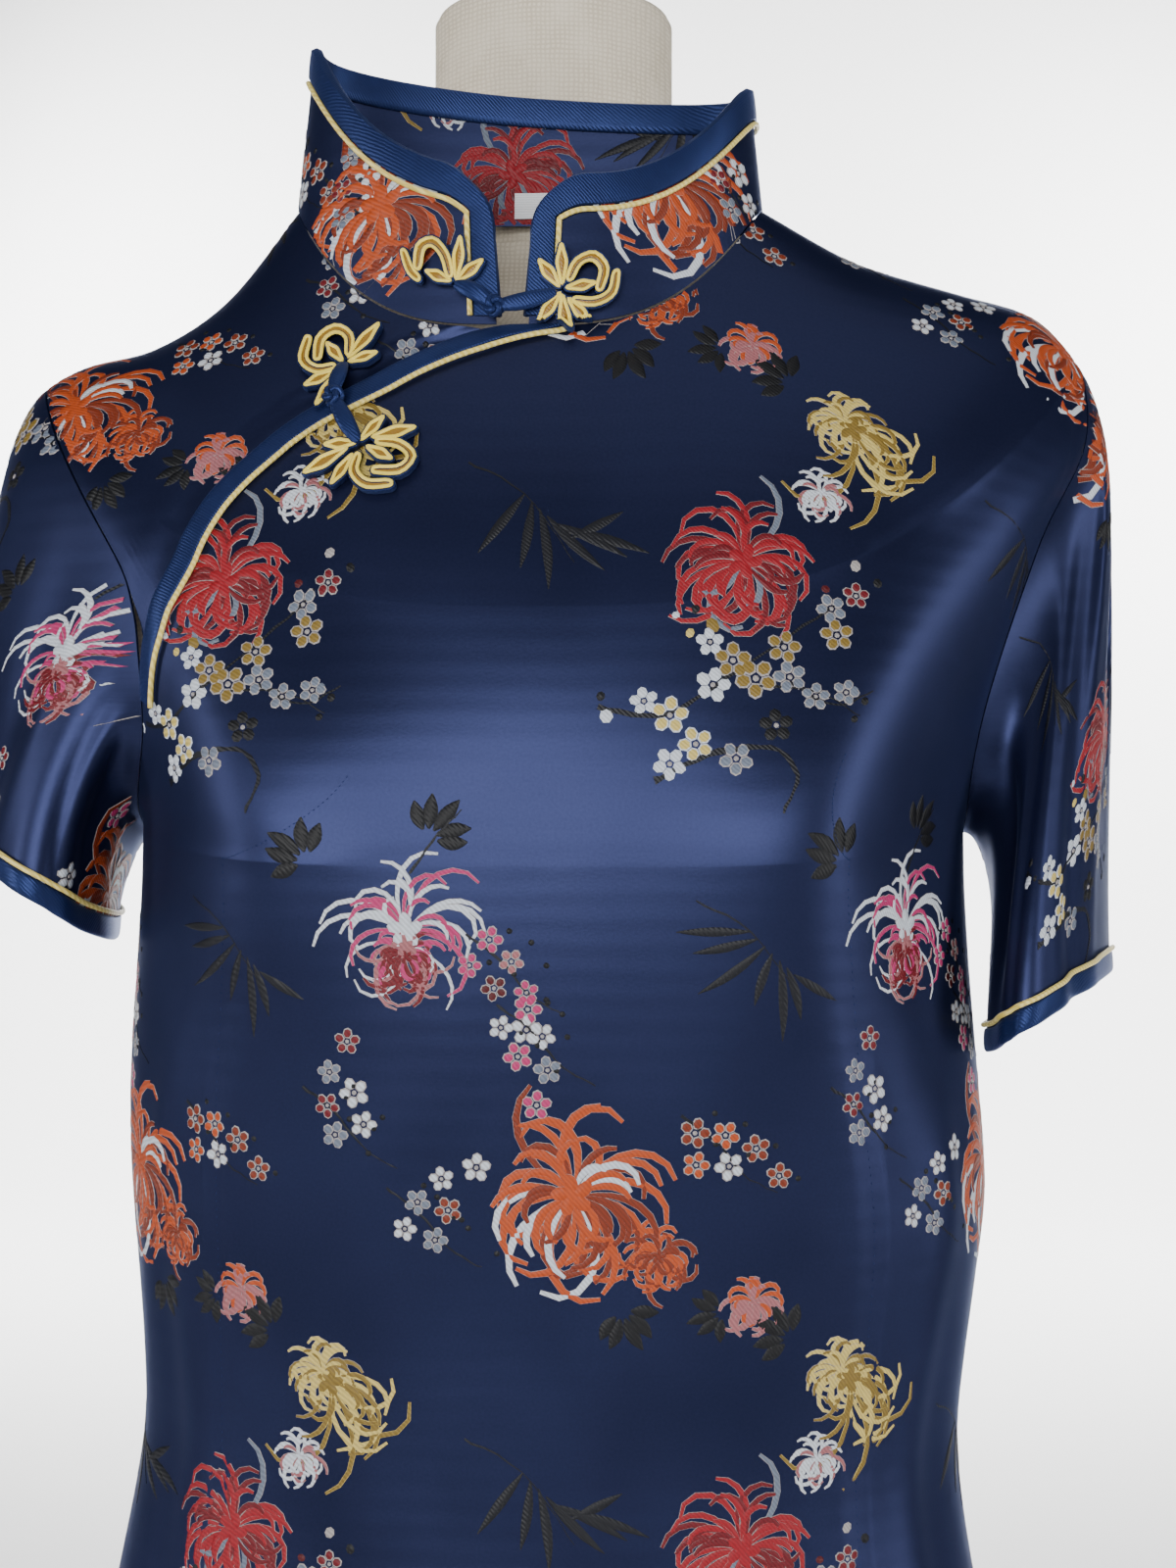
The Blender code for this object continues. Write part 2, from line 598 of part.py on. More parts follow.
def build_collar(brocade, satin, gold, label_cloth):
    columns = collar_columns()
    rows = [
        [
            collar_place(degrees, end, share * collar_height(degrees, end))
            for degrees, end in columns
        ]
        for share in (1, 0.86, 0.6, 0.3, 0)
    ]
    sheet("collar", rows, brocade)
    width = BINDING_WIDTH / CM
    inner, outer = collar_edge(width), collar_edge(0.0)
    profile = []
    for lift in (ON_COLLAR, -CLOTH - ON_COLLAR):
        low = [collar_place(*place, lift) for place in inner]
        high = [collar_place(*place, lift) for place in outer]
        high = [at + (at - to).normalized() * 1.3 * ON_COLLAR for at, to in zip(high, low)]
        profile.append((low, high))
    (face, face_edge), (inside, inside_edge) = profile
    sheet("collar_binding", [face, face_edge, inside_edge, inside], satin, TRIM)
    path = [collar_place(*place, ON_CLOTH_PIPING) for place in collar_edge(PIPING_INSET / CM)]
    tube("collar_piping", apart(path), PIPING_RADIUS, gold)
    behind = -CLOTH - COLLAR_GAP
    label = [
        [collar_point(degrees, height, behind) for degrees in (184, 181, 178)]
        for height in (1.1, 0.7, 0.3)
    ]
    sheet("neck_label", label, label_cloth, 0.4 * MM)


# A frog's flower is one strip folded into petals: each has a direction, length and half width.
Petal = namedtuple("Petal", "degrees length spread")
COLLAR_BUTTON_FLOWER = (
    Petal(86, 1.6, 13), Petal(128, 1.95, 30), Petal(158, 2.3, 13), Petal(55, 0.9, 14), Petal(200, 0.9, 30),
)
COLLAR_LOOP_FLOWER = (
    Petal(88, 1.3, 12), Petal(45, 1.7, 30), Petal(-5, 2.1, 22), Petal(-50, 1.2, 14), Petal(-88, 1.35, 12),
    Petal(-118, 1.1, 12), Petal(125, 1.0, 12),
)
CHEST_BUTTON_FLOWER = (
    Petal(60, 1.5, 12), Petal(125, 1.7, 30), Petal(175, 1.7, 24), Petal(205, 1.4, 14), Petal(235, 1.6, 12),
    Petal(20, 1.0, 14),
)
CHEST_LOOP_FLOWER = (
    Petal(48, 1.1, 12), Petal(12, 1.9, 12), Petal(-28, 2.3, 26), Petal(-70, 2.0, 20), Petal(-115, 1.7, 14),
    Petal(-150, 2.2, 12), Petal(180, 1.2, 14),
)
FROG_HEIGHT = 2.6 * MM
KNOT_RADIUS = 4.5 * MM
ON_PANEL = 0.5 * MM
ON_PIPING = 2 * PIPING_RADIUS + 2 * SEAM_GAP


def petal_reach(petals, degrees):
    """How far the flower's outline is from its middle, in centimetres."""
    reach = 0.55
    for petal in petals:
        turn = (degrees - petal.degrees + 180) % 360 - 180
        reach = max(reach, petal.length * math.exp(-((turn / petal.spread) ** 2) * 0.5))
    return reach


def flower(name, petals, at, lift, finish):
    """A flower of folded strip. at gives the place of a point right and above its middle."""
    around = spread(0, 360, 40)
    rows = []
    for share in (0, 0.5, 1):
        row = []
        for degrees in around:
            reach = petal_reach(petals, degrees) * share
            angle = math.radians(degrees)
            row.append(at(reach * math.cos(angle), reach * math.sin(angle), lift + FROG_HEIGHT))
        rows.append(row)
    return sheet(name, rows, finish, FROG_HEIGHT, closed=True)


def cloth_at(x, z, lift=0.0):
    """The point of the front that is seen at x and z, in centimetres, moved out by lift."""
    degrees, level = x * 4.0, 1.0
    for _ in range(25):
        here = figure_point(degrees, level) / CM
        across = (figure_point(degrees + 0.5, level) / CM - here) * 2
        down = (figure_point(degrees, level + 0.02) / CM - here) * 50
        miss_x, miss_z = x - here.x, z - here.z
        size = across.x * down.z - down.x * across.z
        degrees += 0.7 * (miss_x * down.z - down.x * miss_z) / size
        level += 0.7 * (across.x * miss_z - miss_x * across.z) / size
    return cloth_point(degrees, level, lift)


def build_frogs(satin):
    def collar_at(degrees, height):
        def place(right, up, lift):
            return collar_point(degrees_along(degrees, 0, right * CM), height + up, lift)
        return place

    def chest_at(x, z):
        def place(right, up, lift):
            return cloth_at(x + right, z + up, lift)
        return place

    flowers = (
        ("collar_button_flower", COLLAR_BUTTON_FLOWER, collar_at(-6.5, 1.35), ON_PIPING),
        ("collar_loop_flower", COLLAR_LOOP_FLOWER, collar_at(16.0, 1.15), ON_PIPING),
        ("chest_button_flower", CHEST_BUTTON_FLOWER, chest_at(-7.1, 140.0), ON_PANEL),
        ("chest_loop_flower", CHEST_LOOP_FLOWER, chest_at(-6.3, 136.8), ON_PANEL),
    )
    for name, petals, at, lift in flowers:
        flower(name, petals, at, lift, satin)
    knots = (
        ("collar_knot", collar_at(2.5, 0.55), 1.9 * MM),
        ("chest_knot", chest_at(-7.3, 138.5), 1.3 * MM),
    )
    for name, at, lift in knots:
        bpy.ops.mesh.primitive_uv_sphere_add(segments=14, ring_count=9, radius=KNOT_RADIUS)
        ball = bpy.context.object
        ball.name = name
        ball.location = at(0, 0, lift + KNOT_RADIUS)
        keep(ball, satin)


def loft(name, rings, finish):
    """A closed solid through rings of points, with a flat end at each."""
    mesh = bmesh.new()
    loops = [[mesh.verts.new(point) for point in ring] for ring in rings]
    count = len(loops[0])
    for upper, lower in zip(loops, loops[1:]):
        for i in range(count):
            j = (i + 1) % count
            mesh.faces.new((upper[i], lower[i], lower[j], upper[j]))
    mesh.faces.new(loops[0])
    mesh.faces.new(reversed(loops[-1]))
    bmesh.ops.recalc_face_normals(mesh, faces=mesh.faces)
    data = bpy.data.meshes.new(name)
    mesh.to_mesh(data)
    mesh.free()
    obj = bpy.data.objects.new(name, data)
    bpy.context.scene.collection.objects.link(obj)
    return keep(obj, finish)


FORM_COLUMNS = 48
FORM_LEVELS = (0.12, 0.6, 1.2, 1.9, 2.6, 3.3, 4, 4.5, 5, 5.6, 6.2, 7, 8, 9.5, 11, 12.5, 14, 15.5, FORM_FOOT)
FORM_CENTRE = Vector((0, 0.6, 143.4)) * CM  # where its shoulders close over, inside the collar
NECK_SHIFT, NECK_RADIUS = -0.4, 5.2
# The neck stands behind the collar and leaves the torso through the open back.
NeckRing = namedtuple("NeckRing", "height back")
NECK = (
    NeckRing(158, 8.9), NeckRing(152, 8.8), NeckRing(148, 8.6), NeckRing(145.5, 8.2), NeckRing(143, 7.1),
    NeckRing(140.5, 5.8), NeckRing(138, 4.4), NeckRing(135, 2.8),
)


def form_clearance(degrees, level):
    """Air between the form and the inner face of the cloth, least along the shoulder ridge."""
    ridge = hump(abs((degrees + 180) % 360 - 180), 90, 12)
    return (1.6 + 2.2 * (1 - ridge) + 8 * ramp(level, 2.6, 4.2)) * MM


def form_point(degrees, level):
    inwards = figure_normal(degrees, level) * (CLOTH + form_clearance(degrees, level))
    return figure_point(degrees, level) - inwards


def build_form(linen, steel):
    around = [360 * i / FORM_COLUMNS for i in range(FORM_COLUMNS)]
    shoulder = [form_point(degrees, FORM_LEVELS[0]) for degrees in around]
    rings = []
    for share in (0.9, 0.65, 0.35):
        ring = []
        for low in shoulder:
            point = low.lerp(FORM_CENTRE, share)
            point.z = low.z + (FORM_CENTRE.z - low.z) * share**0.7
            ring.append(point)
        rings.append(ring)
    rings += [[form_point(degrees, level) for degrees in around] for level in FORM_LEVELS]
    foot_z = rings[-1][0].z
    torso = loft("form_torso", rings, linen)

    neck_rings = []
    for ring in NECK:
        middle = Vector((NECK_SHIFT, ring.back, ring.height)) * CM
        turns = [math.radians(degrees) for degrees in around]
        neck_rings.append([
            middle + Vector((math.sin(turn), -math.cos(turn), 0)) * NECK_RADIUS * CM for turn in turns
        ])
    neck = loft("form_neck", neck_rings, linen)
    join = torso.modifiers.new("neck", "BOOLEAN")
    join.operation = "UNION"
    join.solver = "EXACT"
    join.object = neck
    joined = torso.evaluated_get(bpy.context.evaluated_depsgraph_get())
    torso.data = bpy.data.meshes.new_from_object(joined)
    torso.modifiers.clear()
    bpy.data.objects.remove(neck, do_unlink=True)
    keep(torso, linen)

    under = foot_z - SEAM_GAP
    base_top = 1.2 * CM
    turned("stand_pole", [
        (4.5, under / CM), (4.5, under / CM - 0.6), (1.5, under / CM - 0.6), (1.5, 3.0),
        (2.8, 3.0), (2.8, (base_top + SEAM_GAP) / CM),
    ], steel)
    turned("stand_base", [(21.4, 1.2), (22.0, 0.9), (22.0, 0.25), (21.8, 0)], steel, columns=48)


def turned(name, profile, finish, columns=24):
    """A solid turned round the upright axis from a profile of radius and height, top first."""
    rings = []
    for radius, height in profile:
        rings.append([
            Vector((math.cos(math.tau * i / columns) * radius, math.sin(math.tau * i / columns) * radius,
                    height)) * CM
            for i in range(columns)
        ])
    return loft(name, rings, finish)


for existing in list(bpy.data.objects):
    bpy.data.objects.remove(existing, do_unlink=True)
PARTS = bpy.data.collections.new("cheongsam_dress_on_dress_form")
bpy.context.scene.collection.children.link(PARTS)

navy_brocade = material("navy_brocade", (0.012, 0.02, 0.075), 0.35)
navy_satin = material("navy_satin", (0.012, 0.03, 0.11), 0.3)
gold_piping = material("gold_piping", (0.75, 0.62, 0.25), 0.4)
white_label = material("white_label", (0.8, 0.8, 0.8), 0.7)
cream_linen = material("cream_linen", (0.65, 0.58, 0.48), 0.8)
brushed_steel = material("brushed_steel", (0.45, 0.45, 0.46), 0.35, metallic=1.0)

build_body(navy_brocade, navy_satin, gold_piping)
for each_sleeve in SLEEVES:
    build_sleeve(each_sleeve, navy_brocade, navy_satin, gold_piping)
build_collar(navy_brocade, navy_satin, gold_piping, white_label)
build_frogs(navy_satin)
build_form(cream_linen, brushed_steel)
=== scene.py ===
"""A cheongsam on its dress form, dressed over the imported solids.

Metres, +Z up. The front faces -Y and the wearer's left is at +X. The pattern's tables are in
centimetres. Cloth is laid on the same figure as the solids, with finer folds.
"""

import functools
import math
from collections import namedtuple

import bmesh
import bpy
import numpy as np
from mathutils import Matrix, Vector


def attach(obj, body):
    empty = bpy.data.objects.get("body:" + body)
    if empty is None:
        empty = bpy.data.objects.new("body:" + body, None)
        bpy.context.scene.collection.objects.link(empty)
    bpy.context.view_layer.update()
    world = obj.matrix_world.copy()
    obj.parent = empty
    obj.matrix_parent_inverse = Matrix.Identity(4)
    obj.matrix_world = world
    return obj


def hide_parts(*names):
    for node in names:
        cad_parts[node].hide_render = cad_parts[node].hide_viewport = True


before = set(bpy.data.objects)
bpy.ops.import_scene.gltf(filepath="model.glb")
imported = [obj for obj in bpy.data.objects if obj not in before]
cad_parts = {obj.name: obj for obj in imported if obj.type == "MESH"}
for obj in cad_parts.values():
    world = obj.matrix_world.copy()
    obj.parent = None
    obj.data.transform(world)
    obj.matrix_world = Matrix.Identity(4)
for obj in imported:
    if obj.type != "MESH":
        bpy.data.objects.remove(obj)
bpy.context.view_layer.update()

# The front panel. One piece of navy satin brocade from neckline to hem, cut with two long waist
# darts and a curved opening on the wearer's right. It lies over the bust, falls free below it,
# and drags a little from the bust to the side seams.
CM = 0.01
MM = 0.001
CLOTH = 1.2 * MM
SEAM_GAP = 0.35 * MM
SHOULDER_GAP = 0.9 * MM
BINDING_WIDTH = 8.5 * MM
SHOULDER_TIP, UNDERARM, SLIT_TOP, HEM = 3.5, 7, 17, 21
SLIT_SPREAD = 5.0

Ring = namedtuple(
    "Ring", "z_front z_right z_left z_back half_width y_front y_side y_back shift turn square"
)


def level_ring(z, half_width, y_front, y_back, shift):
    """A ring at one height all round, as below the bust."""
    return Ring(z, z, z, z, half_width, y_front, 0.0, y_back, shift, 0, 2.4)


RINGS = (
    Ring(141.5, 147.2, 147.0, 147.4, 9.2, -6.2, -0.6, 2.8, -0.7, -7, 2.1),
    Ring(138.6, 143.8, 144.9, 145.4, 12.5, -7.7, 0.0, 5.8, -0.3, -5, 2.1),
    Ring(135.6, 142.0, 144.0, 142.8, 15.8, -9.1, 0.4, 8.2, 0.0, -3, 2.05),
    Ring(132.4, 141.2, 142.7, 139.8, 19.3, -10.3, 0.5, 9.6, 0.3, -2, 1.95),
    Ring(129.2, 139.4, 139.0, 136.0, 21.2, -11.1, 0.4, 10.3, 0.4, -1, 1.85),
    Ring(126.6, 134.5, 134.5, 132.0, 19.4, -11.5, 0.2, 10.6, 0.3, 0, 2.0),
    Ring(124.2, 128.2, 128.2, 127.5, 17.4, -11.6, 0.0, 10.6, 0.2, 0, 2.2),
    Ring(121.6, 122.6, 122.6, 122.4, 16.1, -11.6, 0.0, 10.3, 0.2, 0, 2.4),
    level_ring(117.5, 16.3, -11.4, 9.8, 0.2),
    level_ring(113.0, 16.7, -11.0, 9.2, 0.2),
    level_ring(108.5, 16.8, -10.6, 8.6, 0.4),
    level_ring(104.0, 16.3, -10.3, 8.1, 0.3),
    level_ring(99.5, 15.9, -10.2, 7.9, 0.1),
    level_ring(95.0, 16.6, -10.4, 8.6, -0.1),
    level_ring(90.0, 17.6, -10.9, 10.0, -0.1),
    level_ring(84.0, 18.5, -11.5, 11.2, 0.0),
    level_ring(78.0, 19.0, -11.9, 11.8, 0.0),
    level_ring(70.5, 19.1, -11.9, 11.6, 0.0),
    level_ring(63.0, 19.0, -11.8, 11.4, 0.0),
    level_ring(55.5, 18.9, -11.7, 11.2, 0.0),
    level_ring(48.5, 18.8, -11.7, 11.1, 0.0),
    level_ring(42.0, 18.8, -11.7, 11.1, 0.0),
)

OpeningPoint = namedtuple("OpeningPoint", "level degrees")
OPENING_EDGE = (
    OpeningPoint(0.0, 4), OpeningPoint(0.2, -6), OpeningPoint(0.45, -14), OpeningPoint(0.9, -24),
    OpeningPoint(1.25, -29.5), OpeningPoint(1.6, -34), OpeningPoint(2.2, -37.5),
    OpeningPoint(3.1, -39.5), OpeningPoint(4.0, -41), OpeningPoint(4.85, -47.5), OpeningPoint(5.7, -54),
)
# Degrees of an armhole's edge at even steps round it, from the shoulder tip to the underarm
RIGHT_ARMHOLE = (90, 77, 66, 56, 50, 50, 51.5, 54, 58, 65, 74, 84, 90)
LEFT_ARMHOLE = (90, 84, 79, 76, 75, 74, 73, 72, 72, 75, 80, 86, 90)
BACK_ARMHOLE = (90, 83, 75, 69, 65, 63, 63, 64, 66, 71, 78, 85, 90)


def between(values, place):
    """Numbers at even steps, read smoothly at any place between them."""
    low = min(max(math.floor(place), 0), len(values) - 2)
    t = place - low
    b, start, end = values[max(low - 1, 0)], values[low], values[low + 1]
    a = values[min(low + 2, len(values) - 1)]
    leaving, arriving = (end - b) / 2, (a - start) / 2
    return (
        start * (2 * t**3 - 3 * t**2 + 1)
        + leaving * (t**3 - 2 * t**2 + t)
        + end * (3 * t**2 - 2 * t**3)
        + arriving * (t**3 - t**2)
    )


RING_COLUMNS = list(zip(*RINGS))


@functools.lru_cache(None)
def ring_at(level):
    return Ring(*[between(column, level) for column in RING_COLUMNS])


def edge_degrees(edge, level):
    """Where an edge runs at a level, straight from one of its points to the next."""
    for start, end in zip(edge, edge[1:]):
        if level <= end.level:
            break
    share = (level - start.level) / (end.level - start.level)
    return start.degrees + share * (end.degrees - start.degrees)


def opening_degrees(level):
    """The opening's edge, its corners rounded by taking the mean of a few places round a level."""
    reach = min(0.3, level, OPENING_EDGE[-1].level - level)
    return sum(edge_degrees(OPENING_EDGE, level + reach * step / 3) for step in range(-3, 4)) / 7


def hump(value, centre, width):
    """A soft bump: 1 at the centre, near 0 beyond two widths."""
    return math.exp(-(((value - centre) / width) ** 2))


def ramp(value, start, end):
    """0 before start, 1 after end, smooth between."""
    t = min(max((value - start) / (end - start), 0), 1)
    return t * t * (3 - 2 * t)


def figure_point(degrees, level):
    """The general figure that the cut fits, at the outer face of smooth cloth."""
    degrees = (degrees + 180) % 360 - 180
    ring = ring_at(level)
    around = math.radians(degrees)
    around += math.radians(ring.turn) * max(math.cos(around), 0)
    side, ahead = math.sin(around), math.cos(around)
    power = 2 / ring.square
    y_end, z_end = (ring.y_front, ring.z_front) if ahead >= 0 else (ring.y_back, ring.z_back)
    z_side = ring.z_left if side >= 0 else ring.z_right
    x = ring.shift + math.copysign(ring.half_width * abs(side) ** power, side)
    y = ring.y_side + (y_end - ring.y_side) * abs(ahead) ** power
    z = z_end + (z_side - z_end) * abs(side) ** 3.0
    bust = 1.7 * hump(abs(degrees), 36, 17) * hump(level, 6.6, 1.8)
    blades = 0.8 * hump(abs(degrees), 145, 16) * hump(level, 5.2, 1.8)
    return Vector((x, y - bust + blades, z)) * CM


def figure_normal(degrees, level):
    """The outward direction of the figure's surface."""
    step = 0.5
    across = figure_point(degrees + step, level) - figure_point(degrees - step, level)
    down = figure_point(degrees, level + 0.05) - figure_point(degrees, level - 0.05)
    return down.cross(across).normalized()


def dart_degrees(degrees, level):
    """Where the waist dart of this side runs, from below the bust to the hip."""
    side = math.copysign(1, degrees)
    return side * (40 + 3 * ramp(level, 8, 12) - (3 if side < 0 else 6) * ramp(level, 13, 16))


def fold_height(degrees, level):
    """How far the soft folds stand out, in metres: the solid's own, then the finer ones."""
    degrees = (degrees + 180) % 360 - 180
    front = abs(degrees) < 90
    off_seam = 1 - hump(abs(degrees), 90, 18)
    skirt = ramp(level, 15, 21) * 0.45 * off_seam * math.cos(math.radians(9 * degrees + 40))
    drag = -0.28 * hump(degrees + 0.9 * 12 * (level - 7.5), -42, 9) * hump(level, 8.2, 1.6)
    drag -= 0.28 * hump(degrees - 0.9 * 10 * (level - 7.5), 45, 9) * hump(level, 8.4, 1.5)
    waist = -0.25 * hump(level, 12, 1.3) * (hump(abs(degrees), 62, 10) + hump(abs(degrees), 125, 12))
    fine = 0
    if front:
        # From the bust point down and out to each side seam
        fine += 0.16 * hump(degrees + 9 * (level - 6.8), -34, 5) * hump(level, 8.6, 1.5)
        fine -= 0.14 * hump(degrees + 9 * (level - 7.6), -34, 4) * hump(level, 8.9, 1.3)
        fine += 0.14 * hump(degrees - 8 * (level - 6.9), 38, 5) * hump(level, 8.5, 1.4)
        fine -= 0.12 * hump(degrees - 8 * (level - 7.9), 38, 4) * hump(level, 9.0, 1.2)
        # Long soft falls between the darts, and one each side of them
        fine += 0.10 * hump(degrees, -14 + 2 * math.sin(level), 9) * ramp(level, 7, 9.5)
        fine -= 0.09 * hump(degrees, 9 + 1.5 * math.sin(level * 1.3), 8) * ramp(level, 7.5, 10)
        fine += 0.12 * hump(degrees, 60 - 1.1 * (level - 9), 5) * ramp(level, 8, 10)
        fine -= 0.10 * hump(degrees, -60 + 1.4 * (level - 10), 6) * ramp(level, 8.5, 11)
        # From the neck to the armholes
        fine -= 0.10 * hump(degrees, 38 + 6 * (level - 3), 8) * hump(level, 3.2, 1.6)
        fine += 0.08 * hump(degrees, 56 + 5 * (level - 4), 7) * hump(level, 4.6, 1.6)
        fine -= 0.12 * hump(degrees, -24 - 4 * (level - 2.2), 4) * hump(level, 2.4, 0.8)
    else:
        turn = abs(degrees) - 140
        fine -= 0.15 * hump(turn + 5 * (level - 9), 0, 7) * hump(level, 9.5, 1.6)
        fine += 0.10 * hump(turn, 14 + 2 * math.sin(level), 8) * ramp(level, 8, 11)
    # The dart: a stitched groove, its cloth a little proud beside it
    if 8.2 < level < 16.5:
        ends = ramp(level, 8.2, 9.2) * (1 - ramp(level, 15.3, 16.5))
        from_dart = abs(degrees if front else 180 - abs(degrees)) - abs(dart_degrees(degrees, level))
        fine -= 0.08 * ends * hump(from_dart, 0, 0.5)
        fine += 0.05 * ends * hump(from_dart, 0, 4)
    return (skirt + drag + waist + 1.4 * fine * ramp(level, 0.6, 3)) * CM


def cloth_point(degrees, level, lift=0.0):
    """A point on the outer face of the worn cloth, moved out by lift."""
    out = figure_normal(degrees, level)
    return figure_point(degrees, level) + out * (fold_height(degrees, level) + lift)


def degrees_along(degrees, level, distance):
    """The angle that lies this far round the ring."""
    span = (figure_point(degrees + 1, level) - figure_point(degrees - 1, level)).length / 2
    return degrees + distance / span


def spread(start, end, count):
    """count + 1 values, evenly from start to end."""
    return [start + (end - start) * i / count for i in range(count + 1)]


def seam_degrees(level):
    """Half a seam gap at the side, as an angle. Over the shoulder the two walls lean together."""
    ring = ring_at(level)
    depth = (ring.y_side - ring.y_front) * CM
    gap = SEAM_GAP if level > SHOULDER_TIP else SHOULDER_GAP
    return math.degrees(math.asin((gap / 2 / depth) ** (ring.square / 2)))


def opening_slant(level):
    """How much wider a strip along the opening is when it is measured round the ring."""
    low, high = max(level - 0.1, 0), min(level + 0.1, OPENING_END)
    here = opening_degrees(level)
    along = figure_point(opening_degrees(high), high)
    along -= figure_point(opening_degrees(low), low)
    across = figure_point(here + 1, level) - figure_point(here - 1, level)
    return 1 / max(along.normalized().cross(across.normalized()).length, 0.35)


def slit_degrees(level):
    """How far a slit's edge stands back from the side."""
    return SLIT_SPREAD * max(level - SLIT_TOP, 0) / (HEM - SLIT_TOP)


def side_edge(level, armhole):
    """Angle of a panel's side edge: shoulder seam, armhole, side seam, then slit."""
    if SHOULDER_TIP < level < UNDERARM:
        share = (level - SHOULDER_TIP) / (UNDERARM - SHOULDER_TIP)
        steps = (len(armhole) - 1) * math.acos(1 - 2 * share) / math.pi
        return between(armhole, steps)
    return 90 - seam_degrees(level) - slit_degrees(level)


def armhole_level(around):
    """Level on an armhole: around is 0 degrees at the shoulder tip and 180 under the arm."""
    return SHOULDER_TIP + (UNDERARM - SHOULDER_TIP) * (1 - math.cos(math.radians(around))) / 2


ARMHOLE_STEPS = 36
ARMHOLE_LEVELS = [armhole_level(180 * step / ARMHOLE_STEPS) for step in range(ARMHOLE_STEPS + 1)]
OPENING_END = armhole_level(105)
NECK_RING_HEIGHT = RINGS[0].z_front - RINGS[1].z_front
HEM_RING_HEIGHT = RINGS[-2].z_front - RINGS[-1].z_front


def front_end(level):
    return side_edge(level, LEFT_ARMHOLE)


def front_start(level):
    """The front's edge on the wearer's right: the curved opening, then the armhole and side."""
    if level <= OPENING_END:
        return opening_degrees(level)
    return -side_edge(level, RIGHT_ARMHOLE)


def back_start(level):
    return 180 - side_edge(level, BACK_ARMHOLE)


def back_end(level):
    return 180 + side_edge(level, BACK_ARMHOLE)


def linear(hex_colour):
    """An sRGB hex colour as the shader's linear red, green, blue and alpha."""
    parts = [int(hex_colour[i:i + 2], 16) / 255 for i in (1, 3, 5)]
    return (*[c / 12.92 if c <= 0.04045 else ((c + 0.055) / 1.055) ** 2.4 for c in parts], 1.0)


def wired(tree, made, **links):
    """Sets a node's sockets, each by its name with _ for a space, or by n and its number."""
    for key, value in links.items():
        by_number = key[0] == "n" and key[1:].isdigit()
        socket = made.inputs[int(key[1:]) if by_number else key.replace("_", " ")]
        if isinstance(value, bpy.types.NodeSocket):
            tree.links.new(value, socket)
        else:
            socket.default_value = value
    return made


def node(tree, kind, settings=(), **links):
    """Adds a node. settings are its own values, and links are its sockets."""
    made = tree.nodes.new(kind)
    for key, value in dict(settings).items():
        setattr(made, key, value)
    return wired(tree, made, **links)


def finish_named(name):
    """A new material, its tree and its shader."""
    made = bpy.data.materials.new(name)
    made.use_nodes = True
    return made, made.node_tree, made.node_tree.nodes["Principled BSDF"]


def brocade_ground():
    """Satin-woven silk and rayon: long weft floats, so its gloss runs in a band across them."""
    made, tree, shader = finish_named("navy satin ground")
    place = node(tree, "ShaderNodeUVMap", {"uv_map": "cloth"}).outputs[0]
    # Threads are 0.1 mm. They are drawn at 0.45 mm, the finest that shows.
    weft = node(tree, "ShaderNodeTexWave", {"bands_direction": "Y"}, Vector=place,
                Scale=0.35, Distortion=1.2, Detail=2.0, Detail_Scale=1.0).outputs[1]
    grain = node(tree, "ShaderNodeTexNoise", Vector=place, Scale=9.0, Detail=3.0).outputs[0]
    soft = node(tree, "ShaderNodeTexNoise", Vector=place, Scale=0.12, Detail=2.0).outputs[0]
    shade = node(tree, "ShaderNodeMix", {"data_type": "RGBA"}, n0=grain,
                 n6=linear("#1F2443"), n7=linear("#2A2F50")).outputs[2]
    shade = node(tree, "ShaderNodeMix", {"data_type": "RGBA", "blend_type": "MULTIPLY"}, n0=0.35,
                 n6=shade, n7=node(tree, "ShaderNodeValToRGB", Fac=soft).outputs[0]).outputs[2]
    rough = node(tree, "ShaderNodeMapRange", Value=soft, n1=0.3, n2=0.7, n3=0.36, n4=0.44).outputs[0]
    height = node(tree, "ShaderNodeMath", {"operation": "ADD"}, n0=weft, n1=grain).outputs[0]
    bump = node(tree, "ShaderNodeBump", Strength=0.12, Distance=0.0002, Height=height).outputs[0]
    tangent = node(tree, "ShaderNodeTangent", {"direction_type": "UV_MAP", "uv_map": "cloth"})
    wired(tree, shader, Base_Color=shade, Roughness=rough, Normal=bump, Tangent=tangent.outputs[0],
          Metallic=0.72, Anisotropic=0.5, Specular_Tint=linear("#B4BEE0"), Sheen_Weight=0.06,
          Sheen_Tint=linear("#6F82C0"), Sheen_Roughness=0.4)
    return made


GROUND = brocade_ground()


def deselect():
    for other in bpy.context.selected_objects:
        other.select_set(False)


def pick(obj):
    """Selects one object alone, and makes it the one that operators act on."""
    deselect()
    obj.select_set(True)
    bpy.context.view_layer.objects.active = obj


def dressed(obj, finish, stands_for=None, angle=40):
    """Gives a finished piece its material, shading and body, and hides the solid it stands for."""
    obj.data.materials.clear()
    obj.data.materials.append(finish)
    pick(obj)
    bpy.ops.object.shade_smooth_by_angle(angle=math.radians(angle))
    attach(obj, "root")
    if stands_for:
        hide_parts(stands_for)
    return obj


WELD = 0.01 * MM


